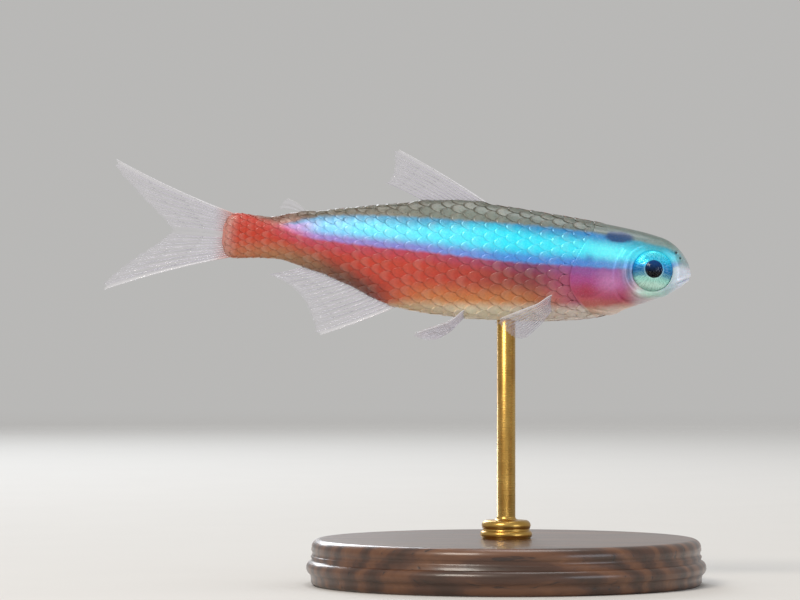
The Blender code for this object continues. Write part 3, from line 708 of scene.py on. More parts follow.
def with_scale_marks(finish, colour, over_back):
    """Each scale's dark margin and own tint on its bare part, and the rise of its fine rings."""
    along, across = finish.map_named("scale_map")
    margin = along.between(0.62, 0.97) * (0.08 + over_back.between(0.015, 0.035) * 0.36)
    colour = finish.blend(margin, colour, "3a3428")
    bare = along.between(0.40, 0.72)
    own = finish.node("ShaderNodeNewGeometry", output="Random Per Island")
    colour = finish.blend(own * bare * 0.07, colour, "ffe9d8")
    rings = finish.wave(along * 9.0 + abs(across - 0.5) * 2.0)
    return colour, rings * bare * 0.3


def cover_lines(finish, place, height, mottle):
    """The rise of fine lines that spread over the gill cover from its upper front corner."""
    away, up = place - GILL_CORNER[0], height - GILL_CORNER[1]
    turn = finish.node("ShaderNodeMath", {"operation": "ARCTAN2"}, (away, up))
    lines = finish.wave(turn * 9.0 + mottle * 0.7)
    return lines * away.between(0.012, 0.04) * height.between(0.03, 0.0) * 0.5


def fish_finish(name, scaled):
    """The fish's markings, wet and glossy, with marks of their own on the scales and a painted glow
    in the neon stripe.
    """
    finish = Finish(name)
    sharp_place, sharp_height = body_chart(finish)
    ragged = finish.grain(0.5 * MM, 3.0) - 0.5
    place = sharp_place + ragged * 0.006
    height = sharp_height + ragged * 0.008
    shoulder = finish.curve(height + 0.5, SHOULDER)
    head = (shoulder - place).between(-0.004, 0.006)
    over_back = height - finish.curve(place, BACK_LOW)
    lower = finish.blend(head, flank_of(finish, place, height), head_of(finish, place, height))
    colour = finish.blend(over_back.between(-0.010, 0.010), lower,
                          back_of(finish, place, height))
    shows, neon = stripe_on(finish, place, height)
    colour = finish.blend(shows, colour, neon)
    colour, shows = with_spots(finish, colour, shows, place, height)
    colour, shows = with_nostrils(finish, colour, shows, sharp_place, sharp_height)
    dark_dots = finish.dots(0.13 * MM, 0.55) * over_back.between(-0.012, 0.008)
    colour = finish.blend(dark_dots * (1 - shows * 0.8) * 0.5, colour, "1c2124")
    # Fine white flecks over the stripe and head: guanine speckles, with their white painted on as
    # glints.
    glint_flecks = finish.grain(0.045 * MM, 3.0).between(0.46, 0.80)
    colour = finish.blend(glint_flecks * (shows * 0.16 + head * 0.10), colour, "ffffff")
    mottle = finish.grain(0.16 * MM, 4.0)
    cloud = finish.ramp(mottle, ((0.2, "606060"), (0.8, "ffffff")))
    colour = finish.blend(0.22, colour, cloud, "MULTIPLY")
    lift = mottle * 0.5 + glint_flecks * 0.15
    if scaled:
        colour, rings = with_scale_marks(finish, colour, over_back)
        lift = lift + rings
    else:
        lift = lift + cover_lines(finish, place, height, mottle) * head
    pearl = head * height.between(0.03, 0.0) * 0.22
    belly = (finish.curve(place, RED_LOW) - height).between(-0.005, 0.015) * 0.10
    metal = (shows * 0.40 + pearl + belly) * (0.7 + mottle * 0.6)
    # The emission is a painted glow in the stripe's own colour.
    finish.shade(Base_Color=colour, Metallic=metal, Roughness=0.26 + mottle * 0.22,
                 Normal=finish.bump(lift, 0.02 * MM, 0.5), IOR=1.42, Coat_Weight=0.35,
                 Coat_Roughness=0.16, Subsurface_Weight=0.12, Subsurface_Scale=0.4 * MM,
                 Emission_Color=finish.blend(shows, "000000", neon), Emission_Strength=0.28)
    return finish.material


def fin_finish(name, clear, solid):
    """A clear fin, pale along its leading edge and flushed red where it leaves the tail."""
    finish = Finish(name)
    number, share = finish.map_named("fin_map")
    place, height = body_chart(finish)
    flush = place.between(1.045, 0.995) * place.between(0.97, 0.99)
    cloud = finish.grain(0.35 * MM, 3.0)
    colour = finish.blend(cloud, "cfcbdc", "e6e3ec")
    colour = finish.blend(number.between(0.10, 0.0) * 0.8, colour, "f4f4f8")
    colour = finish.blend(flush * 0.7, colour, "d07058")
    joints = finish.wave(share * 34.0).between(0.10, 0.0)
    if not clear:
        colour = finish.blend(joints * 0.35, colour, "8e889c")
    alpha = solid * (1.15 - share * 0.45) * (0.8 + cloud * 0.35)
    alpha = alpha + flush * 0.12 + number.between(0.12, 0.0) * 0.16
    finish.shade(Base_Color=colour, Roughness=0.30 + cloud * 0.15, Alpha=alpha, IOR=1.4,
                 Normal=finish.bump(cloud, 0.02 * MM, 0.6), Coat_Weight=0.25)
    return finish.material


def iris_finish():
    """A black pupil with a painted navy reflection over its upper part, in a metallic iris with a
    painted glow, cyan above, blue beside it and mint below.
    """
    finish = Finish("eye_iris")
    across, up = finish.map_named("eye_map")
    right, above = across * 2 - 1, up * 2 - 1
    radius = (right * right + above * above) ** 0.5
    pupil = PUPIL_RADIUS / EYE_RADIUS
    spokes = finish.grain(0.16 * MM, 4.0, uneven=0.4)
    turned_by = finish.vector(right / radius, above / radius, radius * 0.4)
    fibres = finish.grain(0.07, 3.0, where=turned_by)
    band = up + (spokes - 0.5) * 0.08
    iris = finish.ramp(band, ((0.04, "b0e0d0"), (0.15, "d2fdec"), (0.28, "acf2e2"),
                              (0.38, "58a4c0"), (0.48, "2a84c6"), (0.60, "229cdc"),
                              (0.72, "2eccf6"), (0.92, "54ecff")))
    iris = finish.blend((fibres - 0.5) * 1.1 * radius.between(0.95, 0.6), iris, "e8fffb")
    iris = finish.blend((0.5 - fibres) * 1.1, iris, "1c3c4c")
    iris = finish.blend(radius.between(0.84, 1.0) * above.between(0.25, -0.25) * 0.45, iris,
                        "31474c")
    ring = finish.blend(above.between(-0.3, 0.3), "dcfbf2", "4cd8f4")
    iris = finish.blend(radius.hump(pupil + 0.042, 0.032) * 0.6, iris, ring)
    # The pupil is black; the navy over its upper part is a painted reflection.
    dark = finish.blend(up.between(0.40, 0.70), "04060c", "0c4688")
    colour = finish.blend(radius.between(pupil + 0.015, pupil - 0.005), iris, dark)
    shiny = radius.between(pupil - 0.005, pupil + 0.02) * radius.between(0.96, 0.90)
    # The iris also glows in its own colour, more over its upper half: a painted glow.
    painted_glow = shiny * (0.45 + above.between(0.0, 0.5) * 0.55)
    finish.shade(Base_Color=colour, Metallic=shiny * (0.35 + above.between(-0.3, 0.2) * 0.3),
                 Roughness=0.14 + fibres * 0.28, Specular_IOR_Level=0.1,
                 Normal=finish.bump((fibres + spokes) * shiny, 0.02 * MM, 0.5), Coat_Weight=0.35,
                 Coat_Roughness=0.02, Emission_Color=finish.blend(painted_glow, "000000", iris),
                 Emission_Strength=0.36)
    return finish.material


def cornea_finish():
    finish = Finish("eye_cornea")
    haze = finish.grain(0.5 * MM)
    finish.shade(Base_Color=finish.colour("0d1418"), Roughness=0.02 + haze * 0.03,
                 Alpha=0.08 + haze * 0.03, IOR=1.376)
    return finish.material


def walnut_finish():
    """Dark turned wood with long grain and pores under a satin lacquer."""
    finish = Finish("lacquered_walnut")
    x, y, z = finish.parts_of(finish.spot())
    long = finish.vector(x * 0.16, y, z * 0.6)
    wander = finish.grain(4 * MM, 3.0, where=long)
    rings = finish.wave(y / (1.7 * MM) + wander * 3.2 + z / (6 * MM))
    fine = finish.grain(0.22 * MM, 5.0, where=finish.vector(x * 0.05, y, z * 0.5))
    colour = finish.ramp(rings * 0.55 + fine * 0.45, ((0.15, "38200f"), (0.45, "4b2c1a"),
                                                      (0.70, "613c23"), (0.95, "754c2d")))
    pores = fine.between(0.36, 0.30)
    colour = finish.blend(pores * 0.7, colour, "1c0f0a")
    finish.shade(Base_Color=colour, Roughness=0.34 + fine * 0.14, Coat_Weight=0.55,
                 Coat_Roughness=0.16, Normal=finish.bump(fine - pores, 0.03 * MM, 0.35))
    return finish.material


def brass_finish():
    """Brass with fine turning lines, a little darker where it is touched less."""
    finish = Finish("polished_brass")
    x, y, z = finish.parts_of(finish.spot())
    lines = finish.grain(0.05 * MM, 3.0, where=finish.vector(x * 0.05, y * 0.05, z))
    cloud = finish.grain(1.6 * MM, 3.0)
    colour = finish.blend(cloud.between(0.35, 0.7) * 0.6, "d2aa5c", "a67c3a")
    finish.shade(Base_Color=colour, Metallic=1.0, Roughness=0.18 + lines * 0.16 + cloud * 0.06,
                 Normal=finish.bump(lines, 0.01 * MM, 0.5))
    return finish.material


def floor_finish():
    """A matt pale floor that fades into the light round it."""
    finish = Finish("pale_floor")
    x, y, z = finish.parts_of(finish.spot())
    away = (x * x + y * y) ** 0.5
    tone = finish.blend(finish.grain(9 * MM, 4.0) * 0.5, "d3d1ce", "cccac7")
    finish.shade(Base_Color=tone, Roughness=0.8, Alpha=away.between(FLOOR_FADE[1], FLOOR_FADE[0]),
                 Specular_IOR_Level=0.2)
    return finish.material


def even_shares():
    """Shares of the head's length that give rows of even width from the snout on."""
    fine = np.linspace(0, 1, 4000) ** 2
    line = flank(head_place(fine, math.pi / 4), math.pi / 4)
    run = np.concatenate(([0], np.cumsum(np.linalg.norm(np.diff(line, axis=0), axis=1))))
    count = round(run[-1] / HEAD_STEP)
    return np.interp(np.linspace(0, run[-1], count + 1)[1:], run, fine)


def nearest(points, line):
    """Distances of points from a line of points."""
    found = np.full(points.shape[:-1], np.inf)
    for spot in line:
        found = np.minimum(found, np.linalg.norm(points - spot, axis=-1))
    return found


def mouth_line(offset):
    """The mouth from corner to corner round the snout, or a line beside it."""
    places = np.linspace(0, 1, 400) ** 2 * MOUTH_END
    heights = NOSE_HEIGHT + MOUTH_RISE + MOUTH_SLOPE * places + offset / BODY_LENGTH
    open_here = (heights > bottom_of(places)) & (heights < top_of(places))
    places, heights = places[open_here][::6], heights[open_here][::6]
    left = flank(places, side_point(places, heights))
    return np.concatenate((left[::-1] * (1, -1, 1), left))


def head_relief(points):
    """How far the head's skin rises or sinks for its lines, mouth and nostrils."""
    rise = np.zeros(points.shape[:-1])
    side_view = points[..., (0, 2)]
    for stations, depth, width in HEAD_LINES:
        stations = np.array(stations)
        steps = np.arange(len(stations))
        fine = np.linspace(0, len(stations) - 1, 60)
        place = curve_through(np.stack((steps, stations[:, 0]), 1), fine)
        height = curve_through(np.stack((steps, stations[:, 1]), 1), fine)
        line = np.stack((BALANCE - place, height), -1) * BODY_LENGTH
        rise -= depth * hump(nearest(side_view, line), width)
    for place, height, radius in NOSTRILS:
        spot = np.array((BALANCE - place, height)) * BODY_LENGTH
        away = np.linalg.norm(side_view - spot, axis=-1)
        rise += NOSTRIL_RIM * hump(away - radius * 1.8, radius * 0.8)
        rise -= NOSTRIL_DEPTH * hump(away, radius)
    slit = nearest(points, mouth_line(0.0))
    rise -= MOUTH_DEPTH * hump(slit, MOUTH_OPEN)
    for offset in (LIP_APART, -LIP_APART):
        rise += LIP_RISE * hump(nearest(points, mouth_line(offset)), LIP_WIDTH)
    return rise


def fin_base_relief(points, place):
    """Low ridges of muscle that the fins grow from."""
    upper = points[..., 2] > 0
    rise = np.zeros(place.shape)
    for fin, over in ((DORSAL, True), (FATTY, True), (ANAL, False)):
        along = smooth(place, fin.start - RIDGE_BEFORE, fin.start)
        along *= smooth(place, fin.end + RIDGE_AFTER, fin.end)
        rise += RIDGE_RISE * along * hump(points[..., 1], RIDGE_WIDTH) * (upper == over)
    for fin in (PECTORAL, PELVIC):
        place_at, height = fin.root
        spot = flank(place_at, side_point(place_at, height))
        for side in (1, -1):
            away = np.linalg.norm(points - spot * (1, side, 1), axis=-1)
            rise += SWELLING_RISE * hump(away, SWELLING_WIDTH)
    return rise


def eye_frame(side):
    """The middle of an eye and its directions: backward or forward, up, and out."""
    middle = np.array((BALANCE - EYE_PLACE, 0.0, EYE_HEIGHT)) * BODY_LENGTH
    middle[1] = side * EYE_OUT
    out = np.array((math.sin(EYE_FORWARD), side * math.cos(EYE_FORWARD), 0.0))
    up = np.array((0.0, 0.0, 1.0))
    return middle, np.cross(up, out), up, out


def with_orbits(points):
    """The skin with a socket for each eye and a raised rim round it."""
    for side in (1, -1):
        middle, ahead, up, out = eye_frame(side)
        from_eye = points - middle
        depth = from_eye @ out
        away = np.linalg.norm(from_eye - depth[..., None] * out, axis=-1)
        near = (depth > -EYE_DEPTH) & (away < SOCKET_REACH)
        edge = ORBIT_RADIUS + ORBIT_WALL
        at_eye = dome(np.minimum(edge, EYE_RADIUS)) + ORBIT_LIP
        moved = depth + (at_eye - depth) * smooth(away, edge + ORBIT_REACH, edge)
        moved = moved + ORBIT_RIM * hump(away - edge - ORBIT_WALL, 1.5 * ORBIT_WALL)
        moved = moved + (ORBIT_FLOOR - moved) * smooth(away, edge, ORBIT_RADIUS)
        points = points + np.where(near, moved - depth, 0)[..., None] * out
    return points


def make_skin(material):
    """One skin from the snout to the tail fin's root, with the gill covers' free edges."""
    angles = np.linspace(0, 2 * math.pi, SKIN_COLUMNS, endpoint=False)
    up_side = (angles + math.pi / 2) % (2 * math.pi) - math.pi / 2
    up_side = np.where(up_side > math.pi / 2, math.pi - up_side, up_side)
    flap = smooth(up_side, FLAP_LOW - FLAP_FADES, FLAP_LOW)
    flap *= smooth(up_side, FLAP_HIGH + FLAP_FADES, FLAP_HIGH)
    shares = even_shares()[:, None]
    head = head_place(shares, angles)
    edge = gill_edge(angles)
    swell = FLAP_RISE * flap * smooth(shares, FLAP_FROM, 1)
    rows = [edge - SLIT_UNDER * flap, edge + SLIT_FLOOR, edge + SLIT_ENDS]
    sinks = [-FLAP_SINK * flap, -FLAP_SINK * flap, -SLIT_LEFT * FLAP_SINK * flap]
    run = np.linspace(0, 1, BODY_ROWS + 1)[1:, None]
    end = 1 + FLESH_CLOSES * FLESH_OVERLAP
    body = edge + SLIT_ENDS + (end - edge - SLIT_ENDS) * run
    place = np.concatenate((head, rows, body))
    relief = np.concatenate((swell, sinks, np.zeros(body.shape)))
    points = flank(place, angles)
    relief[:len(head)] += head_relief(points[:len(head)])
    relief += fin_base_relief(points, place)
    points = with_orbits(points + outward(place, angles) * relief[..., None])
    nose = np.mean(points[0], axis=0)
    tail = np.mean(points[-1], axis=0)
    count = SKIN_COLUMNS
    total = points.shape[0] * count
    faces = []
    for row in range(points.shape[0] - 1):
        for column in range(count):
            near, after = row * count + column, row * count + (column + 1) % count
            faces.append((near, near + count, after + count, after))
    for column in range(count):
        after = (column + 1) % count
        faces.append((total, column, after))
        faces.append((total + 1, total - count + after, total - count + column))
    everything = np.concatenate((points.reshape(-1, 3), [nose], [tail]))
    nodes = ("head", "trunk", "tail", "gill_cover_left", "gill_cover_right")
    piece("skin", posed(everything), faces, material, nodes)


class Girth:
    """Arc lengths round the body's sections, from the middle of the flank up and down."""

    def __init__(self):
        self.places = np.linspace(GIRTH_FROM, GIRTH_TO, 120)
        quarter = np.linspace(0, math.pi / 2, 91)
        self.steps = np.linspace(0, 1, 61)
        self.reach = {}
        self.angles = {}
        for way in (1, -1):
            section = flank(self.places[:, None], way * quarter)
            strides = np.linalg.norm(np.diff(section, axis=1), axis=-1)
            run = np.concatenate((np.zeros((len(self.places), 1)), np.cumsum(strides, 1)), 1)
            self.reach[way] = run[:, -1]
            self.angles[way] = np.array([np.interp(self.steps * line[-1], line, quarter)
                                         for line in run])

    def angle_at(self, place, arc):
        """The angle at an arc length up, or down where it is negative, also past the ridge."""
        found = np.zeros(np.broadcast(place, arc).shape)
        row = np.clip(np.interp(place, self.places, np.arange(len(self.places))), 0, None)
        low = np.minimum(row.astype(int), len(self.places) - 2)
        part = row - low
        for way in (1, -1):
            share = way * arc / np.interp(place, self.places, self.reach[way])
            folded = np.where(share > 1, 2 - share, share)
            column = np.clip(folded, 0, 1) * (len(self.steps) - 1)
            left = np.minimum(column.astype(int), len(self.steps) - 2)
            rest = column - left
            table = self.angles[way]
            near = table[low, left] * (1 - rest) + table[low, left + 1] * rest
            far = table[low + 1, left] * (1 - rest) + table[low + 1, left + 1] * rest
            angle = near * (1 - part) + far * part
            angle = np.where(share > 1, math.pi - angle, angle)
            found = np.where(way * arc > 0, way * angle, found)
        return found


def scale_spots(girth):
    """Roots of the scales of one side and of the midlines, as (place, arc, length, height)."""
    flank_rows, midline = [], []
    place, ring = GILL_EDGE[0][1], 0
    while place < SCALES_END:
        length = float(curve_through(SCALE_LENGTH, place)) * MM
        height = float(curve_through(SCALE_HEIGHT, place)) * MM
        for way in (1, -1):
            reach = float(np.interp(place, girth.places, girth.reach[way]))
            count = int(reach / height) + 1
            for step in range(count):
                arc = (step + 0.5 * (ring % 2)) * height
                if way < 0 and arc == 0 or reach - arc < RIDGE_CLEAR * height:
                    continue
                flank_rows.append((place, way * arc, length, height))
            midline.append((place, way * reach, length, height))
        place += length / BODY_LENGTH
        ring += 1
    return flank_rows, midline


def has_room(girth, spot):
    """Whether a scale's root is behind the gill cover and clear of the fins' roots."""
    place, arc, length, height = spot
    angle = float(girth.angle_at(np.array(place), np.array(arc)))
    if place < gill_edge(angle) + SCALES_START:
        return False
    reach = np.interp(place, girth.places, girth.reach[1 if arc > 0 else -1])
    if abs(arc) < reach - 0.1 * height:
        return True
    fins = (DORSAL, FATTY) if arc > 0 else (ANAL,)
    return not any(fin.start - 0.012 < place < fin.end + 0.008 for fin in fins)


def make_scales(name, spots, side, girth, chance, material):
    """Thin overlapping scales, each rooted in the skin and free along its round rear edge."""
    spots = np.array([spot for spot in spots if has_room(girth, spot)])
    root, middle, length, height = (column[:, None, None] for column in spots.T)
    along = np.linspace(0, 1, SCALE_ROWS + 1)[None, :, None]
    across = np.linspace(-1, 1, SCALE_COLUMNS + 1)[None, None, :]
    draw = chance.uniform(-1, 1, (3, len(spots), 1, 1))
    longer, wider, higher = (1 + share * each for share, each in zip(SCALE_VARIES, draw))
    rounded = np.sqrt(1 - SCALE_ROUND * across ** 2)
    place = root + length * SCALE_OVERLAP * longer * along * rounded / BODY_LENGTH
    shape = 1 - SCALE_NARROWS + SCALE_NARROWS * np.sin(along * SCALE_BULGE)
    width = height * SCALE_WIDER * shape * wider
    angle = girth.angle_at(place, middle + across * width / 2)
    points, facing = flank(place, angle), outward(place, angle)
    lift = SCALE_ROOT + (SCALE_EDGE - SCALE_ROOT) * along ** SCALE_RISES * higher
    lift = lift + SCALE_CROWN * (1 - 2 * across ** 2) + fin_base_relief(points, place)
    thick = SCALE_THICK * (1 - 0.5 * along) + 0 * across
    upper = points + facing * lift[..., None]
    lower = points + facing * (lift - thick)[..., None]
    both = np.stack((upper, lower), 1)
    if side < 0:
        both = (both * (1, -1, 1))[:, :, :, ::-1]
    each = both[0].size // 3
    faces = []
    for number in range(len(spots)):
        faces += slab_faces(SCALE_ROWS, SCALE_COLUMNS, number * each)
    along_map, across_map = np.broadcast_arrays(along, across * 0.5 + 0.5)
    scale_map = np.stack((along_map, across_map), -1)[:, None]
    scale_map = np.broadcast_to(scale_map, (*both.shape[:-1], 2))
    at_root = girth.angle_at(root, middle) / math.pi * 0.44 + 0.5 - side * 0.25
    corner = np.stack(np.broadcast_arrays(root * 0.9, at_root), -1)[:, None]
    bake_map = corner + (scale_map - 0.5) * BAKE_PATCH
    piece(name, posed(both), faces, material, (),
          {"scale_map": scale_map, "OFBake": bake_map})


class Fan:
    """The rays of a fin in its plane, and the lines between them."""

    def __init__(self, fin, roots, chance, side=1, web_height=0.0):
        share = np.linspace(0, 1, fin.count)
        length = fin.shortest + (fin.longest - fin.shortest) * (1 - share) ** fin.falloff
        length = length * chance.uniform(1 - LENGTH_VARIES, 1, fin.count)
        length[0] *= LEADING_SHORT
        lean = fin.leans[0] + (fin.leans[1] - fin.leans[0]) * share
        bend = fin.bends[0] + (fin.bends[1] - fin.bends[0]) * share
        columns = [*roots(share), length, side * np.radians(lean), side * np.radians(bend)]
        if fin.web:
            inner = (columns[0][-1], web_height, fin.shortest * 0.90, 0.0, 0.0)
            columns = [np.append(column, end) for column, end in zip(columns, inner)]
        self.columns = columns
        self.last = len(columns[0]) - 1

    def spot(self, number, share):
        """A point at a share of a ray's length. Its number may lie between two rays."""
        x, y, length, angle, bend = (np.interp(number, np.arange(self.last + 1), column)
                                     for column in self.columns)
        turn = angle + bend * share / 2
        return x + length * share * np.cos(turn), y + length * share * np.sin(turn)

    def apart(self, number):
        """The distance between the roots of a ray and of the next one."""
        x, y = self.columns[:2]
        near = min(number, self.last - 1)
        return math.hypot(x[near + 1] - x[near], y[near + 1] - y[near])

    def sunk(self, number):
        """The share, under 0, at which a ray starts inside the flesh."""
        length = np.interp(number, np.arange(self.last + 1), self.columns[2])
        return -RAY_SUNK / (length * BODY_LENGTH)


def edge_at(numbers):
    """The share of a ray's length at which the membrane ends, less between two rays."""
    return 1 - MEMBRANE_NOTCH * np.sin(math.pi * numbers) ** 2


def ray_lines(fin, fan, number):
    """The stem, forks and tips of a ray, each as its order, its numbers and its shares."""
    if number < fin.plain_rays:
        share = np.linspace(float(fan.sunk(number)), 1, 2 * RAY_STEPS)
        return [(0, np.full(len(share), float(number)), share)]
    stem = np.linspace(float(fan.sunk(number)), FIRST_FORK, RAY_STEPS)
    lines = [(0, np.full(len(stem), float(number)), stem)]
    first = np.linspace(FIRST_FORK, SECOND_FORK, RAY_STEPS)
    second = np.linspace(SECOND_FORK, 1, RAY_STEPS)
    for way in (-1, 1):
        lines.append((1, number + way * fork(first, FIRST_FORK, FIRST_SPREAD), first))
        for tip in (-1, 1):
            numbers = number + way * fork(second, FIRST_FORK, FIRST_SPREAD)
            numbers = numbers + tip * fork(second, SECOND_FORK, SECOND_SPREAD)
            lines.append((2, numbers, second * (1 - (1 - edge_at(numbers)) * second ** 4)))
    return lines


def fork(share, start, spread):
    """How far a branch is from its stem, in numbers, at shares of the ray's length."""
    return spread * ((share - start) / (1 - start)) ** 0.85


def make_rays(name, fin, fan, placed, node, material):
    """The rays of a fin as tapering, forking rods."""
    turns = np.linspace(0, 2 * math.pi, RAY_SIDES, endpoint=False)
    points, maps, faces, count = [], [], [], 0
    for number in range(fin.count):
        root = min(RAY_ROOT, RAY_CLOSE * fan.apart(number) * BODY_LENGTH)
        for order, numbers, share in ray_lines(fin, fan, number):
            numbers = np.clip(numbers, 0, fan.last)
            x, y = fan.spot(numbers, share)
            run = unit(np.stack((np.gradient(x), np.gradient(y)), -1))
            taper = np.clip(share, 0, 1)[:, None]
            radius = (root + (RAY_TIP - root) * taper ** RAY_TAPERS) * BRANCH_THINNER[order]
            beside = radius / BODY_LENGTH * np.cos(turns)
            points.append(placed(x[:, None] - run[:, 1:] * beside, y[:, None] + run[:, :1] * beside,
                                 radius * np.sin(turns)))
            spread = np.broadcast_arrays(numbers[:, None] / fan.last, taper + 0 * turns)
            maps.append(np.stack(spread, -1).reshape(-1, 2))
            faces += tube_faces(len(share), RAY_SIDES, count)
            count += len(share) * RAY_SIDES
    everything = np.concatenate([ring.reshape(-1, 3) for ring in points])
    piece(name, posed(everything), faces, material, (node,),
          {"fin_map": np.concatenate(maps)})


def make_membrane(name, fan, placed, node, material, thicker=1.0):
    """The thin membrane between the rays, pleated a little and notched between their tips."""
    columns = fan.last * MEMBRANE_COLUMNS
    numbers = np.linspace(0, fan.last, columns + 1)
    share = np.linspace(0, 1, MEMBRANE_ROWS + 1)[:, None]
    sunk = fan.sunk(numbers)
    reach = sunk + (edge_at(numbers) - sunk) * share
    x, y = fan.spot(np.broadcast_to(numbers, reach.shape), reach)
    pleat = MEMBRANE_PLEAT * np.sin(math.pi * numbers) * np.sin(math.pi * share * 0.9)
    half = (MEMBRANE_ROOT + (MEMBRANE_TIP - MEMBRANE_ROOT) * share) / 2 * thicker + 0 * numbers
    both = np.stack((placed(x, y, pleat + half), placed(x, y, pleat - half)))
    spread = np.stack(np.broadcast_arrays(numbers / fan.last, share), -1)
    piece(name, posed(both), slab_faces(MEMBRANE_ROWS, columns), material, (node,),
          {"fin_map": np.broadcast_to(spread, (2, *spread.shape))})


def upright(along, over, aside):
    """From the midplane of the fish to points beside it."""
    along, over, aside = np.broadcast_arrays(along, over, aside)
    return np.stack(((BALANCE - along) * BODY_LENGTH, aside, over * BODY_LENGTH), -1)


def make_fins(chance, membrane, rays):
    gap = GAP / BODY_LENGTH

    def on_back(fin):
        def roots(share):
            place = fin.start + (fin.end - fin.start) * share
            return place, top_of(place) + gap
        return roots

    def under_tail(share):
        place = ANAL.start + (ANAL.end - ANAL.start) * share
        return place, bottom_of(place) - gap * ANAL_SLANT

    for name, fin, roots in (("dorsal_fin", DORSAL, on_back(DORSAL)),
                             ("anal_fin", ANAL, under_tail)):
        fan = Fan(fin, roots, chance)
        make_membrane(name + "_membrane", fan, upright, name, membrane)
        make_rays(name + "_rays", fin, fan, upright, name, rays)
    make_membrane("fatty_fin", Fan(FATTY, on_back(FATTY), chance), upright, "adipose_fin",
                  membrane, thicker=4.0)
    middle = float(top_of(1.0) + bottom_of(1.0)) / 2
    for name, side in (("tail_fin_upper", 1), ("tail_fin_lower", -1)):
        outer = float(top_of(1.0) if side > 0 else bottom_of(1.0))
        inner = middle + side * (gap / 2 + RAY_RIDGE / BODY_LENGTH)

        def roots(share, outer=outer, inner=inner):
            return 1 + gap + 0 * share, outer + (inner - outer) * share

        fan = Fan(TAIL_LOBE, roots, chance, side, middle)
        make_membrane(name + "_membrane", fan, upright, name, membrane)
        make_rays(name + "_rays", TAIL_LOBE, fan, upright, name, rays)
    for name, fin in (("pectoral_fin", PECTORAL), ("pelvic_fin", PELVIC)):
        for side_name, side in (("left", 1), ("right", -1)):
            make_paired_fin(f"{name}_{side_name}", fin, side, chance, membrane, rays)


def make_paired_fin(name, fin, side, chance, membrane, rays):
    place, height = fin.root
    angle = side_point(place, height)
    mirror = np.array((1, side, 1))
    spot, facing = flank(place, angle) * mirror, outward(place, angle) * mirror
    back = np.array((-1.0, 0.0, 0.0))
    back = unit(back - facing * (back @ facing))
    down = np.cross(back, facing) * side
    lean, droop = math.radians(fin.stands_out), math.radians(fin.droops)
    span = unit(back * math.cos(lean) + facing * math.sin(lean))
    span = unit(span * math.cos(droop) + down * math.sin(droop))
    chord = unit(down - span * (down @ span))
    face = unit(np.cross(span, chord))
    start = spot + facing * (GAP + FIN_THICK / 2)

    def placed(along, over, aside):
        along, over, aside = (part[..., None] for part in np.broadcast_arrays(along, over, aside))
        bent = (GAP + FIN_THICK / 2 + ROOT_BURIED) * smooth(along, ROOT_BENDS, 0)
        return start + (span * along + chord * over) * BODY_LENGTH + face * aside - facing * bent

    def roots(share):
        return 0 * share, fin.start + (fin.end - fin.start) * share

    fan = Fan(fin, roots, chance)
    make_membrane(name + "_membrane", fan, placed, name, membrane)
    make_rays(name + "_rays", fin, fan, placed, name, rays)


def turned(profile, steps):
    """Rings of points round Z from a profile of (radius, height), and their closed faces."""
    profile = np.array(profile)
    turns = np.linspace(0, 2 * math.pi, steps, endpoint=False)
    rings = [np.stack((radius * np.cos(turns), radius * np.sin(turns), 0 * turns + height), -1)
             for radius, height in profile[1:-1]]
    ends = [(0, 0, profile[0][1]), (0, 0, profile[-1][1])]
    points = np.concatenate((*rings, ends))
    last = len(rings) - 1
    faces = []
    for row in range(last):
        for column in range(steps):
            after = (column + 1) % steps
            near = row * steps
            faces.append((near + column, near + steps + column, near + steps + after, near + after))
    top, bottom = len(points) - 2, len(points) - 1
    for column in range(steps):
        after = (column + 1) % steps
        faces.append((top, column, after))
        faces.append((bottom, last * steps + after, last * steps + column))
    return points, faces


def dome(radius):
    """The height of the eye's curve over its rim."""
    curve = (EYE_RADIUS ** 2 + EYE_DOME ** 2) / (2 * EYE_DOME)
    return np.sqrt(curve ** 2 - radius ** 2) - (curve - EYE_DOME)


def raise_pupil(points):
    """Moves the pupil up over the eye's curve, and the iris round it less towards its rim."""
    front = points[:, 2] > 0
    radius = np.hypot(points[front, 0], points[front, 1])
    up = points[front, 1] + PUPIL_RAISED * smooth(radius, EYE_RADIUS * IRIS_EDGE, PUPIL_RADIUS)
    points[front, 2] += dome(np.hypot(points[front, 0], up)) - dome(radius)
    points[front, 1] = up


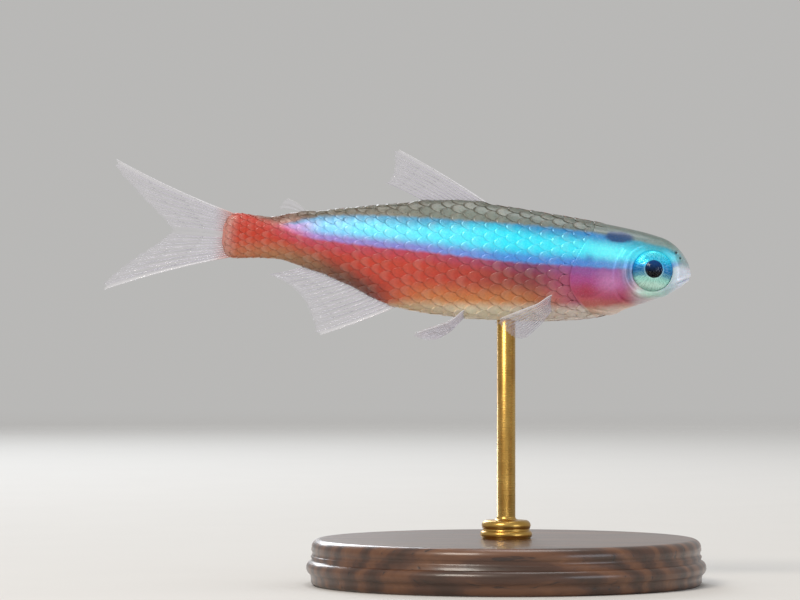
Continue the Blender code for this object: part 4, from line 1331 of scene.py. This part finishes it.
def make_eye(side_name, side, iris, cornea):
    """An eyeball with a sunken iris and a round lens in its pupil, under a clear cornea."""
    lens = [PUPIL_RADIUS * share for share in np.linspace(0, 1, 10)]
    ball = [(r, dome(r) - IRIS_SUNK + LENS_PROUD * (1 - (r / PUPIL_RADIUS) ** 2)) for r in lens]
    for r in np.linspace(PUPIL_RADIUS * 1.04, EYE_RADIUS * IRIS_EDGE, 12):
        ball.append((r, dome(r) - IRIS_SUNK * smooth(r, EYE_RADIUS * 0.98, EYE_RADIUS * 0.55)))
    ball += [(EYE_RADIUS * 0.985, dome(EYE_RADIUS * 0.985)), (EYE_RADIUS, 0.0)]
    ball += [(EYE_RADIUS * 0.96, -0.3 * EYE_DEPTH), (EYE_RADIUS * 0.7, -EYE_DEPTH)]
    ball += [(0.0, -EYE_DEPTH)]
    rim = EYE_RADIUS * CORNEA_EDGE
    clear = [(r, dome(r) + CORNEA_PROUD) for r in np.linspace(0, rim, 16)]
    clear += [(r, dome(r) - CORNEA_INSIDE) for r in np.linspace(rim, 0, 16)]
    middle, ahead, up, out = eye_frame(side)
    turn = np.stack((ahead, up, out))
    for name, profile, material, nodes in (
            ("eyeball_", ball, iris, ("eye_" + side_name,)), ("cornea_", clear, cornea, ())):
        points, faces = turned(profile, EYE_STEPS)
        places = points[:, :2] / EYE_RADIUS * 0.5 + 0.5
        if profile is ball:
            raise_pupil(points)
        piece(name + side_name, posed(points @ turn + middle), faces, material, nodes,
              {"eye_map": places})


def quarter_round(middle_radius, middle_height, radius, start, end, steps=8):
    """Points of a profile along an arc, by angles in degrees."""
    turns = np.radians(np.linspace(start, end, steps))
    return [(middle_radius + radius * math.cos(t), middle_height + radius * math.sin(t))
            for t in turns]


def make_stand(wood, brass):
    """The turned base, with a cove and a bead, and the rod in its collar."""
    profile = [(0.0, BASE_HEIGHT), (BASE_RADIUS * 0.5, BASE_HEIGHT)]
    for inward, height, radius, start, end in BASE_EDGE:
        profile += quarter_round(BASE_RADIUS - inward, height, radius, start, end, 13)
    profile += [(BASE_RADIUS - inward, height) for inward, height in BASE_FOOT]
    profile.append((0.0, 0.0))
    points, faces = turned(profile, 160)
    piece("base_turned", points, faces, wood, ("stand_base",))
    belly = float(posed(flank(BALANCE, -math.pi / 2))[2])
    foot = BASE_HEIGHT
    top = belly + 0.12 * MM
    profile = [(0.0, top), (ROD_RADIUS - 0.12 * MM, top)]
    profile += [(ROD_RADIUS, top - 0.12 * MM), (ROD_RADIUS, foot + COLLAR_HEIGHT + 0.25 * MM)]
    profile += quarter_round(ROD_RADIUS + 0.25 * MM, foot + COLLAR_HEIGHT + 0.25 * MM, 0.25 * MM,
                             180, 270)
    profile += quarter_round(COLLAR_RADIUS - 0.45 * MM, foot + COLLAR_HEIGHT - 0.35 * MM,
                             0.35 * MM, 90, 0)
    profile += quarter_round(COLLAR_RADIUS - 0.08 * MM, foot + 0.62 * MM, 0.10 * MM, 130, 230)
    profile += quarter_round(COLLAR_RADIUS - 0.25 * MM, foot + 0.28 * MM, 0.25 * MM, 80, -60)
    profile += [(COLLAR_RADIUS - 0.1 * MM, foot), (0.0, foot)]
    points, faces = turned(profile, 72)
    piece("rod_turned", points, faces, brass, ("stand_rod",))


def make_stage():
    """The floor, the lamps round it, the pale surroundings and the camera."""
    turns = np.linspace(0, 2 * math.pi, 96, endpoint=False)
    mesh = bpy.data.meshes.new("floor")
    ring = [(FLOOR_RADIUS * math.cos(t), FLOOR_RADIUS * math.sin(t), 0.0) for t in turns]
    mesh.from_pydata(ring, [], [tuple(range(len(ring)))])
    mesh.materials.append(floor_finish())
    floor = bpy.data.objects.new("floor", mesh)
    bpy.context.scene.collection.objects.link(floor)
    aim = bpy.data.objects.new("aim", None)
    aim.location = (0.0, 0.0, CAMERA_AIM[1])
    bpy.context.scene.collection.objects.link(aim)
    for name, place, size, power, colour in LAMPS:
        light = bpy.data.lights.new(name, "AREA")
        light.size = size
        light.energy = power
        light.color = linear(colour)
        lamp = bpy.data.objects.new(name, light)
        lamp.location = place
        track = lamp.constraints.new("TRACK_TO")
        track.target = aim
        bpy.context.scene.collection.objects.link(lamp)
    world = bpy.data.worlds.new("studio")
    world.use_nodes = True
    surround = world.node_tree.nodes["Background"]
    surround.inputs["Color"].default_value = (*linear(SURROUND[0]), 1.0)
    surround.inputs["Strength"].default_value = SURROUND[1]
    bpy.context.scene.world = world
    bpy.context.scene.view_settings.view_transform = "Standard"
    lens = bpy.data.cameras.new("camera")
    lens.sensor_width = 36.0
    lens.lens = lens.sensor_width / 2 / math.tan(CAMERA_HALF_ANGLE)
    lens.clip_start = 0.01
    camera = bpy.data.objects.new("camera", lens)
    distance = CAMERA_HALF_WIDTH / math.tan(CAMERA_HALF_ANGLE)
    camera.location = (CAMERA_AIM[0], -distance, CAMERA_AIM[1])
    camera.rotation_euler = (math.pi / 2, 0.0, 0.0)
    bpy.context.scene.collection.objects.link(camera)
    bpy.context.scene.camera = camera


def main():
    chance = np.random.default_rng(SEED)
    girth = Girth()
    make_skin(fish_finish("fish_skin", scaled=False))
    scaled = fish_finish("fish_scales", scaled=True)
    flank_rows, midline = scale_spots(girth)
    make_scales("scales_left", flank_rows, 1, girth, chance, scaled)
    make_scales("scales_right", flank_rows, -1, girth, chance, scaled)
    make_scales("scales_midline", midline, 1, girth, chance, scaled)
    membrane = fin_finish("fin_membrane", clear=True, solid=0.12)
    rays = fin_finish("fin_ray", clear=False, solid=0.44)
    make_fins(chance, membrane, rays)
    iris, cornea = iris_finish(), cornea_finish()
    for side_name, side in (("left", 1), ("right", -1)):
        make_eye(side_name, side, iris, cornea)
    make_stand(walnut_finish(), brass_finish())
    make_stage()


main()
